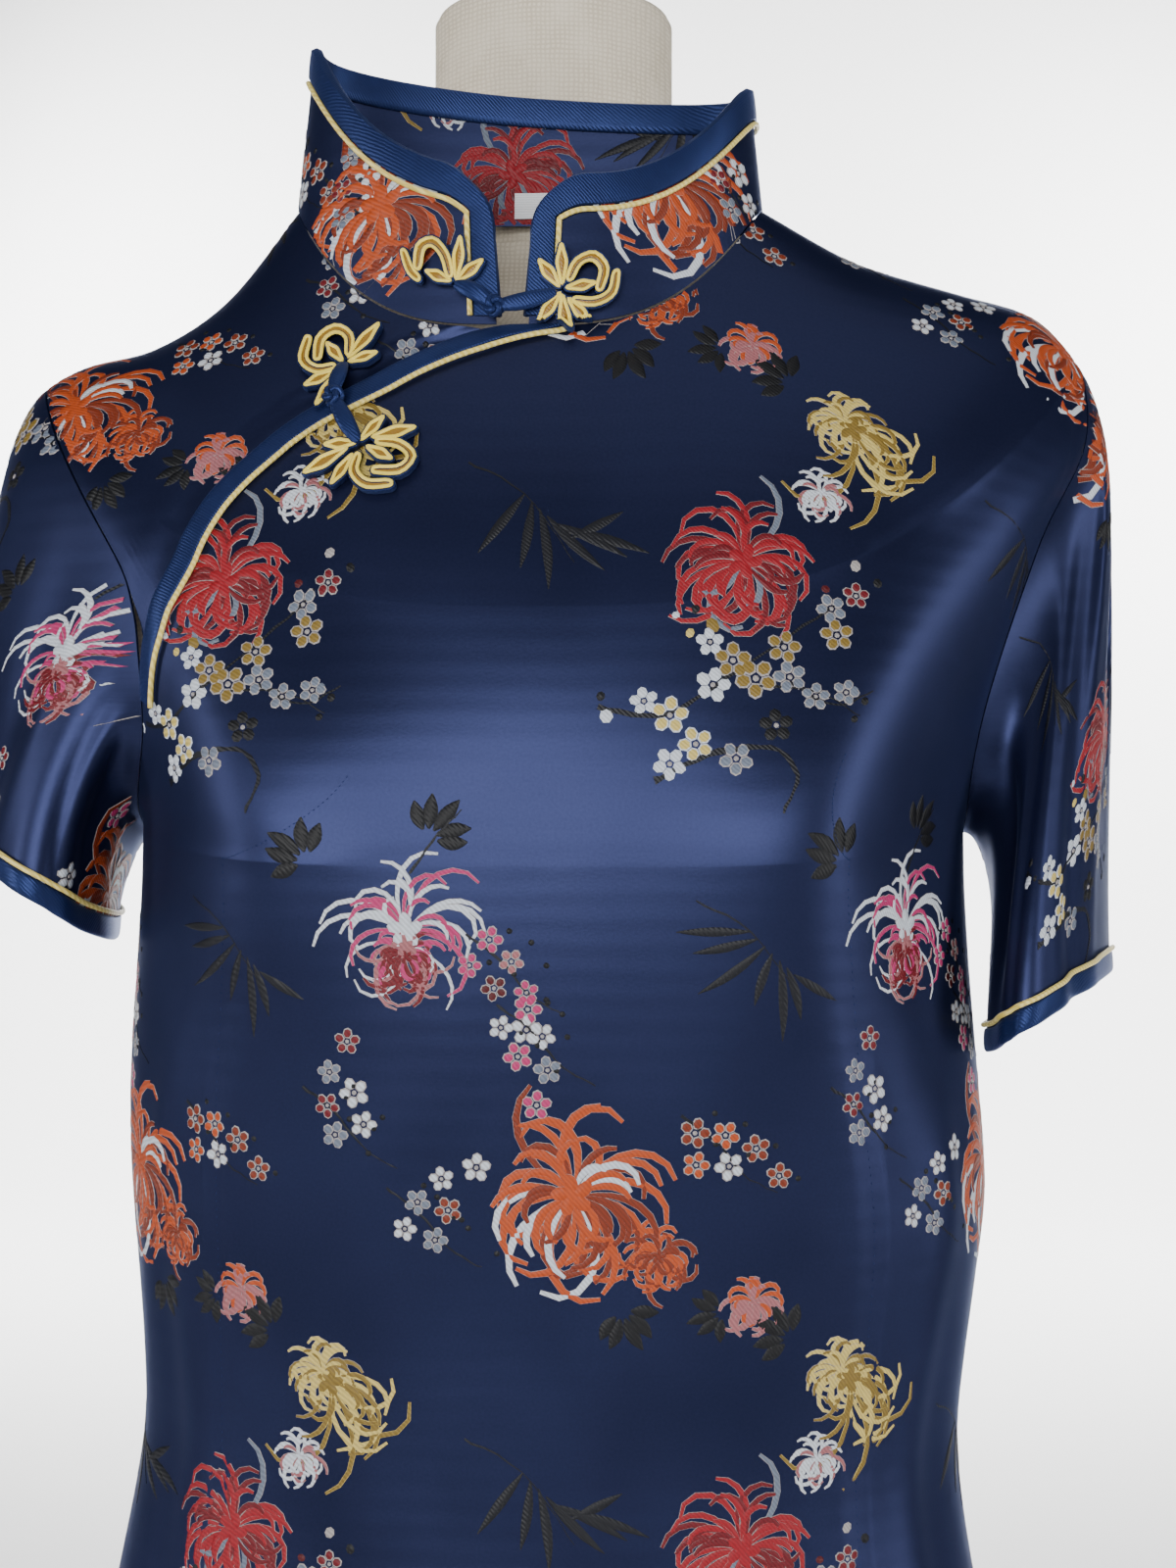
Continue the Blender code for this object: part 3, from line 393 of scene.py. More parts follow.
def sheet_from(
    name, rows, finish, slot, stands_for, thickness=CLOTH, cloth_place=None, cut=None, even=True
):
    """A cloth wall: a grid laid on rows of points, top row first, its thickness going inwards.

    cloth_place is each point's place on the flat cloth, in centimetres, for the weave. cut is the
    column after which the sheet is open, and down to which row.
    """
    rows = np.array(rows)
    down, across = rows.shape[0] - 1, rows.shape[1] - 1
    deselect()
    bpy.ops.mesh.primitive_grid_add(x_subdivisions=across, y_subdivisions=down, size=2, calc_uvs=False)
    obj = bpy.context.object
    obj.name = name
    flat = np.empty(len(obj.data.vertices) * 3)
    obj.data.vertices.foreach_get("co", flat)
    flat = flat.reshape(-1, 3)
    column = np.rint((flat[:, 0] + 1) / 2 * across).astype(int)
    row = np.rint((1 - flat[:, 1]) / 2 * down).astype(int)
    obj.data.vertices.foreach_set("co", rows[row, column].ravel())
    if cloth_place is None:
        along = np.cumsum(np.linalg.norm(np.diff(rows, axis=1, prepend=rows[:, :1]), axis=2), axis=1)
        below = np.cumsum(np.linalg.norm(np.diff(rows, axis=0, prepend=rows[:1]), axis=2), axis=0)
        cloth_place = np.stack([along, -below], axis=2) / CM
    corner = np.empty(len(obj.data.loops), dtype=int)
    obj.data.loops.foreach_get("vertex_index", corner)
    layer = obj.data.uv_layers.new(name="cloth")
    layer.data.foreach_set("uv", np.array(cloth_place)[row[corner], column[corner]].ravel())
    mesh = bmesh.new()
    mesh.from_mesh(obj.data)
    if cut:
        mesh.verts.ensure_lookup_table()
        open_faces = [
            face for face in mesh.faces
            if all(row[v.index] <= cut[1] and cut[0] <= column[v.index] <= cut[0] + 1 for v in face.verts)
        ]
        bmesh.ops.delete(mesh, geom=open_faces, context="FACES")
    bmesh.ops.remove_doubles(mesh, verts=mesh.verts, dist=WELD)
    bmesh.ops.dissolve_degenerate(mesh, edges=mesh.edges, dist=WELD)
    mesh.to_mesh(obj.data)
    mesh.free()
    wall = obj.modifiers.new("wall", "SOLIDIFY")
    wall.thickness = thickness
    wall.offset = -1
    wall.use_even_offset = even
    wall.use_quality_normals = True
    bpy.ops.object.modifier_apply(modifier=wall.name)
    return dressed(obj, finish, stands_for)


def outward_of(points):
    """The outward direction at each point of a grid."""
    normals = np.cross(np.gradient(points, axis=0), np.gradient(points, axis=1))
    return normals / np.maximum(np.linalg.norm(normals, axis=2, keepdims=True), 1e-12)


EASE, EASE_ROUNDS, UNEASED_COLUMNS = 1.2 * MM, 24, 4


def evened(points, levels):
    """Eases the cloth between the figure's rings, along its fall only, and by EASE at most."""
    normals = outward_of(points)
    eased = points.copy()
    steps = np.maximum(np.diff(levels), 1e-6)[:, None, None]
    before, after = steps[:-1], steps[1:]
    for _ in range(EASE_ROUNDS):
        middle = (eased[:-2] * after + eased[2:] * before) / (before + after)
        eased[1:-1] = 0.5 * eased[1:-1] + 0.5 * middle
    move = ((eased - points) * normals).sum(axis=2, keepdims=True)
    columns = np.arange(points.shape[1])[None, :, None]
    from_edge = np.minimum(columns, points.shape[1] - 1 - columns) / UNEASED_COLUMNS
    return points + normals * EASE * np.tanh(move / EASE) * np.clip(from_edge, 0, 1)


# A laid panel: its grid of points with the outward normals, and each point's place on flat cloth
Panel = namedtuple("Panel", "points normals across down")


def panel(rows, levels, centre_column, facing=False, ease=False):
    """Measures a panel as a cutter would: across from its centre line, down from the floor up."""
    points = np.array([[tuple(p) for p in row] for row in rows])
    if ease:
        points = evened(points, levels)
    x, y, z = (points[:, :, i] / CM for i in range(3))
    flat = np.array([ramp(level, 3.0, 7.0) for level in levels])[:, None]
    step = np.hypot(np.diff(x, axis=1), np.sqrt(flat) * np.diff(y, axis=1))
    across = np.concatenate([np.zeros((len(rows), 1)), np.cumsum(step, axis=1)], axis=1)
    across -= across[:, centre_column][:, None]
    across += x[:, centre_column][:, None] if facing else 0
    slope = np.abs(y - y[:, centre_column][:, None])
    down = -(z + 0.42 * (1 - flat) * slope)
    return Panel(points, outward_of(points), across, down)


def brocade_piece(name, laid, stands_for, **settings):
    """A panel of brocade on its laid points, its weave running as the panel was cut."""
    place = np.stack([laid.across, -laid.down], axis=2)
    return sheet_from(
        name, laid.points, GROUND, "navy_brocade", stands_for, cloth_place=place, **settings
    )


def panel_rows(levels, start_edge, end_edge, columns):
    """Angle and level of each grid point of a panel."""
    return [
        [(degrees, level) for degrees in spread(start_edge(level), end_edge(level), columns)]
        for level in levels
    ]


def lifted(places, lift=0.0):
    """Points of the worn cloth from their angles and levels, moved out by lift."""
    return [cloth_point(degrees, level, lift) for degrees, level in places]


TOP_LEVELS = [SHOULDER_TIP * step / 24 for step in range(24)]
SKIRT_LEVELS = [UNDERARM + (HEM - UNDERARM) * step / 96 for step in range(1, 97)]
LEVELS = [*TOP_LEVELS, *ARMHOLE_LEVELS, *SKIRT_LEVELS]
FRONT_COLUMNS, DART_COLUMN = 100, 28
# A column of points runs down each dart, so that its seam is crisp
front_grid = []
for level in LEVELS:
    plain = spread(front_start(level), front_end(level), FRONT_COLUMNS)
    right_dart, left_dart = dart_degrees(-1, level), dart_degrees(1, level)
    outer, inner = DART_COLUMN, FRONT_COLUMNS - 2 * DART_COLUMN
    turns = spread(plain[0], right_dart, outer) + spread(right_dart, left_dart, inner)[1:]
    turns += spread(left_dart, plain[-1], outer)[1:]
    share = ramp(level, 7.2, 8.2)
    front_grid.append([(a + (b - a) * share, level) for a, b in zip(plain, turns)])
front_rows = [lifted(row) for row in front_grid]
front_laid = panel(front_rows, LEVELS, FRONT_COLUMNS // 2, facing=True, ease=True)
brocade_piece("front_cloth", front_laid, "front")

# The under front. The small panel on the wearer's right chest. It is cut in the same brocade, set
# in the right shoulder, armhole and neckline, and the front closes over its edge.
UNDERLAP = 2.6 * MM
OVERLAP_WIDTH = 2.0 * CM
UNDER_COLUMNS = 56


def under_front_rows(levels):
    """Its edge is sunk below the front that covers it."""
    grid = []
    for level in levels:
        edge = opening_degrees(level)
        side = -side_edge(level, RIGHT_ARMHOLE)
        row = []
        covered = max(degrees_along(edge, level, OVERLAP_WIDTH), side + 2)
        for degrees in spread(side, covered, UNDER_COLUMNS):
            from_edge = (figure_point(degrees, level) - figure_point(edge, level)).length
            from_edge = math.copysign(from_edge, degrees - edge)
            sunk = ramp(from_edge, -1.6 * CM, -0.3 * CM)
            row.append(cloth_point(degrees, level, -UNDERLAP * sunk))
        grid.append(row)
    return grid


OPENING_LEVELS = [level for level in LEVELS if level <= OPENING_END]
under_laid = panel(under_front_rows(OPENING_LEVELS), OPENING_LEVELS, UNDER_COLUMNS, facing=True)
brocade_piece("under_front_cloth", under_laid, "under_front")

# The back panel. One piece with two waist darts, open in a point below the collar, where the
# neck of the form comes out through the undone zip.
BACK_OPENING = (
    OpeningPoint(0, 45), OpeningPoint(1, 40), OpeningPoint(2, 29), OpeningPoint(2.8, 17),
    OpeningPoint(3.5, 6), OpeningPoint(ARMHOLE_LEVELS[6], 0),
)
BACK_HALF = 50


def back_opening_degrees(level):
    return edge_degrees(BACK_OPENING, min(level, BACK_OPENING[-1].level))


def back_inner_left(level):
    return 180 - back_opening_degrees(level)


def back_inner_right(level):
    return 180 + back_opening_degrees(level)


back_rows = [
    lifted(left + right)
    for left, right in zip(
        panel_rows(LEVELS, back_start, back_inner_left, BACK_HALF),
        panel_rows(LEVELS, back_inner_right, back_end, BACK_HALF),
    )
]
CLOSED_FROM = LEVELS.index(BACK_OPENING[-1].level)
back_laid = panel(back_rows, LEVELS, BACK_HALF, ease=True)
brocade_piece("back_cloth", back_laid, "back", cut=(BACK_HALF, CLOSED_FROM))

# Binding and piping of the opening and the hems. A bias strip of plain navy satin is sewn along
# the edge, rolled over it and hemmed down inside. A fine pale gold cord is sewn in beside it.
PIPING_RADIUS = 1.0 * MM
# From the middle of the cord to what it touches: the binding beside it, and the cloth below
PIPING_ROOM = PIPING_RADIUS + SEAM_GAP
# Across the strip, from its inner edge over the fold: share of its width, and lift in millimetres
TapePoint = namedtuple("TapePoint", "share lift")
TAPE = (
    TapePoint(0.0, 0.45), TapePoint(0.03, 0.85), TapePoint(0.12, 1.12), TapePoint(0.35, 1.26),
    TapePoint(0.65, 1.3), TapePoint(0.88, 1.16), TapePoint(1.0, 0.8), TapePoint(1.05, 0.2),
    TapePoint(1.05, -0.6),
)


def binding_satin():
    """Plain silk satin cut on the bias: a closer, glossier face than the brocade's ground."""
    made, tree, shader = finish_named("navy binding satin")
    place = node(tree, "ShaderNodeTexCoord").outputs["Object"]
    # Bias threads, drawn at 0.4 mm
    weave = node(tree, "ShaderNodeTexWave", {"bands_direction": "DIAGONAL"}, Vector=place,
                 Scale=400.0, Distortion=2.0, Detail=2.0).outputs[1]
    soft = node(tree, "ShaderNodeTexNoise", Vector=place, Scale=90.0, Detail=3.0).outputs[0]
    shade = node(tree, "ShaderNodeMix", {"data_type": "RGBA"}, n0=soft,
                 n6=linear("#141D40"), n7=linear("#1E2C58")).outputs[2]
    puckers = node(tree, "ShaderNodeMath", {"operation": "MULTIPLY_ADD"}, n0=soft, n1=2.5, n2=weave)
    bump = node(tree, "ShaderNodeBump", Strength=0.25, Distance=0.0003, Height=puckers.outputs[0])
    wired(tree, shader, Base_Color=shade, Normal=bump.outputs[0], Metallic=0.55, Roughness=0.4,
          Specular_Tint=linear("#AFC0F0"), Sheen_Weight=0.2, Sheen_Tint=linear("#6F82C0"))
    return made


def piping_satin():
    """Pale gold satin over a cotton cord. The cut is on the bias, so its threads twist round it."""
    made, tree, shader = finish_named("pale gold piping satin")
    place = node(tree, "ShaderNodeTexCoord").outputs["Object"]
    # The twist of the cover, 0.8 mm from thread bundle to thread bundle
    twist = node(tree, "ShaderNodeTexWave", {"bands_direction": "DIAGONAL"}, Vector=place,
                 Scale=200.0, Distortion=3.0, Detail=2.0).outputs[1]
    shade = node(tree, "ShaderNodeMix", {"data_type": "RGBA"}, n0=twist,
                 n6=linear("#C9B04C"), n7=linear("#E8D680")).outputs[2]
    bump = node(tree, "ShaderNodeBump", Strength=0.3, Distance=0.0002, Height=twist)
    wired(tree, shader, Base_Color=shade, Normal=bump.outputs[0], Roughness=0.42,
          Sheen_Weight=0.3, Sheen_Tint=linear("#FFF4C0"))
    return made


BINDING = binding_satin()
PIPING = piping_satin()


def taped(name, node_name, borders, at=cloth_point):
    """A binding laid on a border: pairs of an inner and an outer place, along the edge."""
    rows = []
    for share, lift in TAPE:
        rows.append([
            at(*[a + (b - a) * share for a, b in zip(inner, outer)], lift * MM)
            for inner, outer in borders
        ])
    sheet_from(name, rows, BINDING, "navy_satin", node_name, thickness=0.3 * MM, even=False)


def mended(obj, step, **settings):
    """Runs one of Blender's mesh operators on the whole of a piece."""
    pick(obj)
    bpy.ops.object.mode_set(mode="EDIT")
    bpy.ops.mesh.select_all(action="SELECT")
    step(**settings)
    bpy.ops.object.mode_set(mode="OBJECT")


def corded(name, node_name, path, closed=False):
    """The piping: a cord along a path of points, as a closed tube."""
    curve = bpy.data.curves.new(name, "CURVE")
    curve.dimensions = "3D"
    curve.bevel_depth = PIPING_RADIUS
    curve.bevel_resolution = 2
    curve.use_fill_caps = True
    spline = curve.splines.new("POLY")
    spline.points.add(len(path) - 1)
    for place, point in zip(spline.points, path):
        place.co = (*point, 1)
    spline.use_cyclic_u = closed
    obj = bpy.data.objects.new(name, curve)
    bpy.context.scene.collection.objects.link(obj)
    pick(obj)
    bpy.ops.object.convert(target="MESH")
    obj = bpy.context.object
    mended(obj, bpy.ops.mesh.remove_doubles, threshold=WELD)
    mended(obj, bpy.ops.mesh.normals_make_consistent, inside=False)
    dressed(obj, PIPING, node_name)


def apart(points):
    """A path without points that all but repeat the one before."""
    path = [points[0]]
    for point in points[1:]:
        if (point - path[-1]).length > 0.5 * MM:
            path.append(point)
    return path


opening_border, opening_welt = [], []
for level in spread(0, OPENING_END, 110):
    edge = opening_degrees(level)
    wide = BINDING_WIDTH * opening_slant(level)
    opening_border.append(((degrees_along(edge, level, wide), level), (edge, level)))
    room = PIPING_ROOM * opening_slant(level) * (2 - ramp(level, 0.2, 0.9))
    if level > 0.1:
        opening_welt.append((degrees_along(edge, level, wide + room), level))
taped("front_opening_binding_satin", "front_opening_binding", opening_border)
corded("front_opening_cord", "front_opening_piping", apart(lifted(opening_welt, PIPING_ROOM)))


def hem_border(start_edge, end_edge, inset=0.0):
    """Down one slit, along the hem and up the other: inner and outer places, mitred corners."""
    width = BINDING_WIDTH + inset
    hem_inner = HEM - width / (HEM_RING_HEIGHT * CM)
    sides = [SLIT_TOP + (hem_inner - SLIT_TOP) * step / 50 for step in range(51)]
    border = []
    for level in sides:
        edge = start_edge(level)
        border.append(((degrees_along(edge, level, width), level), (edge, level)))
    first = degrees_along(start_edge(HEM), HEM, width)
    last = degrees_along(end_edge(HEM), HEM, -width)
    for degrees in spread(start_edge(HEM), end_edge(HEM), 90):
        border.append(((min(max(degrees, first), last), hem_inner), (degrees, HEM)))
    for level in reversed(sides):
        edge = end_edge(level)
        border.append(((degrees_along(edge, level, -width), level), (edge, level)))
    return border


for name, edges in (("front_hem", (front_start, front_end)), ("back_hem", (back_start, back_end))):
    taped(f"{name}_binding_satin", f"{name}_binding", hem_border(*edges))
    hem_line = [inner for inner, outer in hem_border(*edges, PIPING_ROOM)]
    corded(f"{name}_cord", f"{name}_piping", apart(lifted(hem_line, PIPING_ROOM)))

# The sleeves. Each is one piece, set into its armhole, and hangs to just above the elbow. Its hem
# is bound and piped as the front is. The cloth stands off the form in a few soft upright folds.
Sleeve = namedtuple("Sleeve", "name side armhole hem_x hem_y hem_z half_width half_depth turn_in rise")
SLEEVES = (
    Sleeve("sleeve_right", -1, RIGHT_ARMHOLE, 20.6, 0.4, 120.2, 3.0, 7.8, 2.0, 1.9),
    Sleeve("sleeve_left", 1, LEFT_ARMHOLE, 19.9, 0.2, 115.6, 2.2, 7.6, 2.2, 1.4),
)


def armhole_place(sleeve, around):
    """Angle and level on the armhole: 0 at the shoulder tip, 90 in front, 180 under the arm."""
    around %= 360
    level = armhole_level(around)
    if around % 180 == 0:
        return sleeve.side * 90, level
    if around < 180:
        return sleeve.side * side_edge(level, sleeve.armhole), level
    return sleeve.side * (180 - side_edge(level, BACK_ARMHOLE)), level


@functools.lru_cache(None)
def sleeve_start(sleeve, around):
    """Where the sleeve leaves the armhole, and in which direction."""
    degrees, level = armhole_place(sleeve, around)
    before = figure_point(*armhole_place(sleeve, around - 2))
    after = figure_point(*armhole_place(sleeve, around + 2))
    away = (after - before).cross(figure_normal(degrees, level)).normalized() * -sleeve.side
    share = 0.5 + 0.5 * math.cos(math.radians(around))
    out = Vector((sleeve.side, 0, 0))
    leaving = (away * share + out * (1 - share)).normalized()
    return cloth_point(degrees, level) + leaving * SEAM_GAP * (1 + 1.5 * share), leaving


def smooth_sleeve_point(sleeve, around, down):
    """The sleeve from the armhole, down = 0, to the hem, down = 1."""
    start, leaving = sleeve_start(sleeve, around)
    angle = math.radians(around)
    hem = Vector((
        sleeve.side * (
            sleeve.hem_x + sleeve.half_width * math.cos(angle) - sleeve.turn_in * math.sin(angle)
        ),
        sleeve.hem_y - sleeve.half_depth * math.sin(angle),
        sleeve.hem_z + sleeve.rise * math.cos(angle),
    )) * CM
    reach = (hem - start).length
    arriving = Vector((sleeve.side * 0.05, 0, -1))
    return (
        start * (2 * down**3 - 3 * down**2 + 1)
        + leaving * reach * (0.55 * (down**3 - 2 * down**2 + down))
        + hem * (3 * down**2 - 2 * down**3)
        + arriving * reach * (down**3 - down**2)
    )


def sleeve_point(sleeve, around, down, lift=0.0):
    """A point on the worn sleeve's outer face, moved out by lift."""
    step = 0.01
    low, high = max(down - step, 0), min(down + step, 1)
    falling = smooth_sleeve_point(sleeve, around, high) - smooth_sleeve_point(sleeve, around, low)
    turning = smooth_sleeve_point(sleeve, around + 0.5, down)
    turning -= smooth_sleeve_point(sleeve, around - 0.5, down)
    out = falling.cross(turning).normalized() * -sleeve.side
    around %= 360
    away = ramp(down, 0.04, 0.35)
    fold = -0.5 * hump(around, 128, 14) * ramp(down, 0.05, 0.3) * (1 - 0.7 * ramp(down, 0.6, 1))
    fold += 0.2 * hump(around, 80, 16) * ramp(down, 0.3, 0.8)
    sway = 8 * math.sin(3 * down)
    fold += 0.10 * hump(around, 58 + sway, 7) * away
    fold -= 0.12 * hump(around, 44 + sway, 6) * away
    fold += 0.09 * hump(around, 30 - sway, 7) * away
    fold -= 0.12 * hump(around, 104 - sway, 6) * away
    fold += 0.10 * hump(around, 114 - sway, 5) * away * (1 - ramp(down, 0.6, 1))
    fold += 0.12 * math.sin(math.radians(6 * around)) * hump(around, 250, 60) * away
    return smooth_sleeve_point(sleeve, around, down) + out * (fold * CM + lift)


def sleeve_share(sleeve, around, distance):
    """The height down the sleeve that is this far above the hem."""
    near = smooth_sleeve_point(sleeve, around, 0.9)
    return 1 - 0.1 * distance / (smooth_sleeve_point(sleeve, around, 1) - near).length


SLEEVE_COLUMNS, SLEEVE_ROWS = 120, 56
sleeves_laid = []
for sleeve in SLEEVES:
    arounds = spread(0, 360, SLEEVE_COLUMNS)
    if sleeve.side > 0:
        arounds.reverse()
    downs = spread(0, 1, SLEEVE_ROWS)
    sleeve_rows = [[sleeve_point(sleeve, around, down) for around in arounds] for down in downs]
    laid = panel(sleeve_rows, [HEM] * len(downs), SLEEVE_COLUMNS // 4)
    sleeves_laid.append(laid)
    brocade_piece(f"{sleeve.name}_cloth", laid, sleeve.name, even=False)
    cuff = [
        ((around, sleeve_share(sleeve, around, BINDING_WIDTH)), (around, 1)) for around in arounds
    ]
    on_sleeve = functools.partial(sleeve_point, sleeve)
    taped(f"{sleeve.name}_binding_satin", f"{sleeve.name}_binding", cuff, on_sleeve)
    above_binding = BINDING_WIDTH + PIPING_ROOM
    cuff_line = [
        on_sleeve(around, sleeve_share(sleeve, around, above_binding), PIPING_ROOM)
        for around in arounds[:-1]
    ]
    corded(f"{sleeve.name}_cord", f"{sleeve.name}_piping", cuff_line, closed=True)

# The stand collar. Brocade outside and in over a stiff interlining, so it stands nearly straight
# and opens in a narrow V in front. Its edge is bound and piped. The binding is hemmed down inside.
COLLAR_GAP = 0.9 * MM
ON_COLLAR = 1.7 * MM
COLLAR_HEIGHT = 5.7
COLLAR_LEAN = 0.065
COLLAR_ENDS = (9.0, 362.5)
COLLAR_CORNER = 2.3
COLLAR_SPREAD = 0.4
COLLAR_SLANT = 1.2
COLLAR_ROWS = 18


def collar_point(degrees, height, lift=0.0):
    """A point on the collar's outer face, height centimetres above its seam."""
    if height < 0:
        return cloth_point(degrees, -height / NECK_RING_HEIGHT, lift)
    base = figure_point(degrees, 0) + Vector((0, 0, COLLAR_GAP))
    out = figure_point(degrees + 0.5, 0) - figure_point(degrees - 0.5, 0)
    out = Vector((out.y, -out.x, 0)).normalized()
    middle = Vector((RINGS[0].shift * CM, -0.5 * CM, 0))
    lean = Vector((middle.x - base.x, (middle.y - base.y) * 0.6, 0))
    lean = lean * COLLAR_LEAN * height / COLLAR_HEIGHT
    return base + lean + Vector((0, 0, height * CM)) + out * lift


def collar_height(degrees, from_end):
    """Height of the collar's edge, from_end centimetres from its nearer front end."""
    turn = math.radians(degrees)
    full = COLLAR_HEIGHT - 0.85 * math.sin(turn) - 0.35 * (1 - math.cos(turn))
    if from_end >= COLLAR_CORNER:
        return full
    across = COLLAR_CORNER - max(from_end, 0)
    return full - COLLAR_CORNER + math.sqrt(COLLAR_CORNER**2 - across**2)


def collar_columns():
    """Angle of each column of the collar, and its distance from the nearer front end."""
    steps = [3.4 * (step / 24) ** 1.5 for step in range(25)]
    first, last = COLLAR_ENDS
    near = [(degrees_along(first, 0, step * CM), step) for step in steps]
    far = [(degrees_along(last, 0, -step * CM), step) for step in reversed(steps)]
    middle = spread(near[-1][0], far[0][0], 130)[1:-1]
    return near + [(degrees, 9.0) for degrees in middle] + far


def collar_place(degrees, from_end, height, lift=0.0):
    """As collar_point, with the front ends leaning back towards their tops."""
    lean = COLLAR_SPREAD * (1 - ramp(from_end, 0, 5)) * height / COLLAR_HEIGHT
    lean = math.copysign(lean, 180 - degrees)
    return collar_point(degrees_along(degrees, 0, lean * CM), height, lift)


def collar_edge(inset):
    """Up one front end of the collar, round its top, and down the other, inset centimetres in."""
    columns = collar_columns()
    at_first = degrees_along(columns[0][0], 0, inset * CM)
    at_last = degrees_along(columns[-1][0], 0, -inset * CM)
    below = inset * COLLAR_SLANT
    top = collar_height(columns[0][0], inset) - below
    rising = [0.3 + share * (top - 0.3) for share in (0, 0.35, 0.7, 0.93)]
    edge = [(at_last, inset, height) for height in rising]
    for column, from_end in reversed(columns):
        if from_end < inset:
            column, from_end = (at_last if column > 180 else at_first), inset
        edge.append((column, from_end, collar_height(column, from_end) - below))
    return edge + [(at_first, inset, height) for height in reversed(rising)]


columns = collar_columns()
collar_rows = [
    [
        collar_place(degrees, end, (1 - step / COLLAR_ROWS) * collar_height(degrees, end))
        for degrees, end in columns
    ]
    for step in range(COLLAR_ROWS + 1)
]
collar_laid = panel(collar_rows, [HEM] * len(collar_rows), len(columns) // 2)
brocade_piece("collar_cloth", collar_laid, "collar")

inner_edge, outer_edge = collar_edge(BINDING_WIDTH / CM), collar_edge(0.0)
# Across the binding, from its seam to the collar's edge: share of its width, lift in millimetres,
# and how far it is past the edge
EdgeTapePoint = namedtuple("EdgeTapePoint", "share lift past")
COLLAR_TAPE = (
    EdgeTapePoint(0, 0.95, 0), EdgeTapePoint(0.05, 1.45, 0), EdgeTapePoint(0.3, 1.67, 0),
    EdgeTapePoint(0.8, 1.67, 0.32), EdgeTapePoint(1.0, 1.5, 0.8),
)
TAPE_FOLD = EdgeTapePoint(1.0, -CLOTH / 2 / MM, 1.35)


def collar_tape_row(point):
    """One line of the binding along the collar's edge."""
    row = []
    for inner, outer in zip(inner_edge, outer_edge):
        low = collar_place(*inner, point.lift * MM)
        high = collar_place(*outer, point.lift * MM)
        row.append(low + (high - low) * point.share + (high - low).normalized() * ON_COLLAR * point.past)
    return row


def inside(point):
    return point._replace(lift=-CLOTH / MM - point.lift)


tape_points = [*COLLAR_TAPE, TAPE_FOLD, *(inside(point) for point in reversed(COLLAR_TAPE))]
sheet_from(
    "collar_binding_satin", [collar_tape_row(point) for point in tape_points], BINDING, "navy_satin",
    "collar_binding", thickness=0.4 * MM, even=False,
)
collar_cord_edge = collar_edge((BINDING_WIDTH + PIPING_ROOM) / CM)
collar_line = [collar_place(*place, PIPING_ROOM) for place in collar_cord_edge]
corded("collar_cord", "collar_piping", apart(collar_line))

# The label. A small woven tape, sewn at its short ends inside the back neck. It is bare.
label_satin, tree, shader = finish_named("white label tape")
place = node(tree, "ShaderNodeTexCoord").outputs["Object"]
# Taffeta ribs, drawn at 0.5 mm
ribs = node(tree, "ShaderNodeTexWave", {"bands_direction": "Z"}, Vector=place, Scale=320.0,
            Distortion=0.4).outputs[1]
tone = node(tree, "ShaderNodeMix", {"data_type": "RGBA"}, n0=ribs,
            n6=linear("#DADDE2"), n7=linear("#F4F5F7")).outputs[2]
bump = node(tree, "ShaderNodeBump", Strength=0.3, Distance=0.0002, Height=ribs).outputs[0]
wired(tree, shader, Base_Color=tone, Normal=bump, Roughness=0.6)
label_rows = [
    [collar_point(degrees, height, -CLOTH - COLLAR_GAP - 0.2 * MM * math.sin(9 * height))
     for degrees in spread(185, 177, 12)]
    for height in spread(1.32, 0.27, 10)
]
sheet_from("neck_label_tape", label_rows, label_satin, "white_label", "neck_label", thickness=0.3 * MM)

# The woven flowers. Coloured silk wefts float over the ground only where a petal needs them, so
# each petal lies a thread proud, with a pale edge. One repeat is 18.8 cm wide and 35 cm high.
REPEAT_WIDTH, REPEAT_HEIGHT = 18.8, 35.0
PALE, WHITE, GREY, GOLD, CREAM = "#9C9694", "#C3C9D2", "#677080", "#7C6529", "#C4AF62"
RED, DEEP_RED, CRIMSON, PINK = "#901420", "#4E0810", "#680C18", "#AE2E64"
ORANGE, RUST, ROSE, BLACK, INK = "#AC451A", "#762A12", "#9A5E62", "#06070C", "#0A0C14"


def thread_silk():
    """Floss silk floats: little twist, so each petal glints along its threads."""
    made, tree, shader = finish_named("floss silk floats")
    colour = node(tree, "ShaderNodeAttribute", {"attribute_name": "thread"}).outputs["Color"]
    place = node(tree, "ShaderNodeTexCoord").outputs["Object"]
    # Floats 0.3 mm apart, drawn at 0.5 mm
    floats = node(tree, "ShaderNodeTexWave", {"bands_direction": "DIAGONAL"}, Vector=place,
                  Scale=330.0, Distortion=1.5, Detail=2.0).outputs[1]
    darker = node(tree, "ShaderNodeMix", {"data_type": "RGBA", "blend_type": "MULTIPLY"}, n0=0.5,
                  n6=colour, n7=node(tree, "ShaderNodeValToRGB", Fac=floats).outputs[0])
    lighter = node(tree, "ShaderNodeMix", {"data_type": "RGBA"}, n0=0.55, n6=colour,
                   n7=darker.outputs[2]).outputs[2]
    bump = node(tree, "ShaderNodeBump", Strength=0.5, Distance=0.0002, Height=floats).outputs[0]
    wired(tree, shader, Base_Color=lighter, Normal=bump, Roughness=0.5, Specular_IOR_Level=0.3)
    return made


SILK = thread_silk()
# A woven shape: its points on flat cloth with their lifts in millimetres, its faces, their colours
Woven = namedtuple("Woven", "points lifts faces colours")
SUNK = -0.08


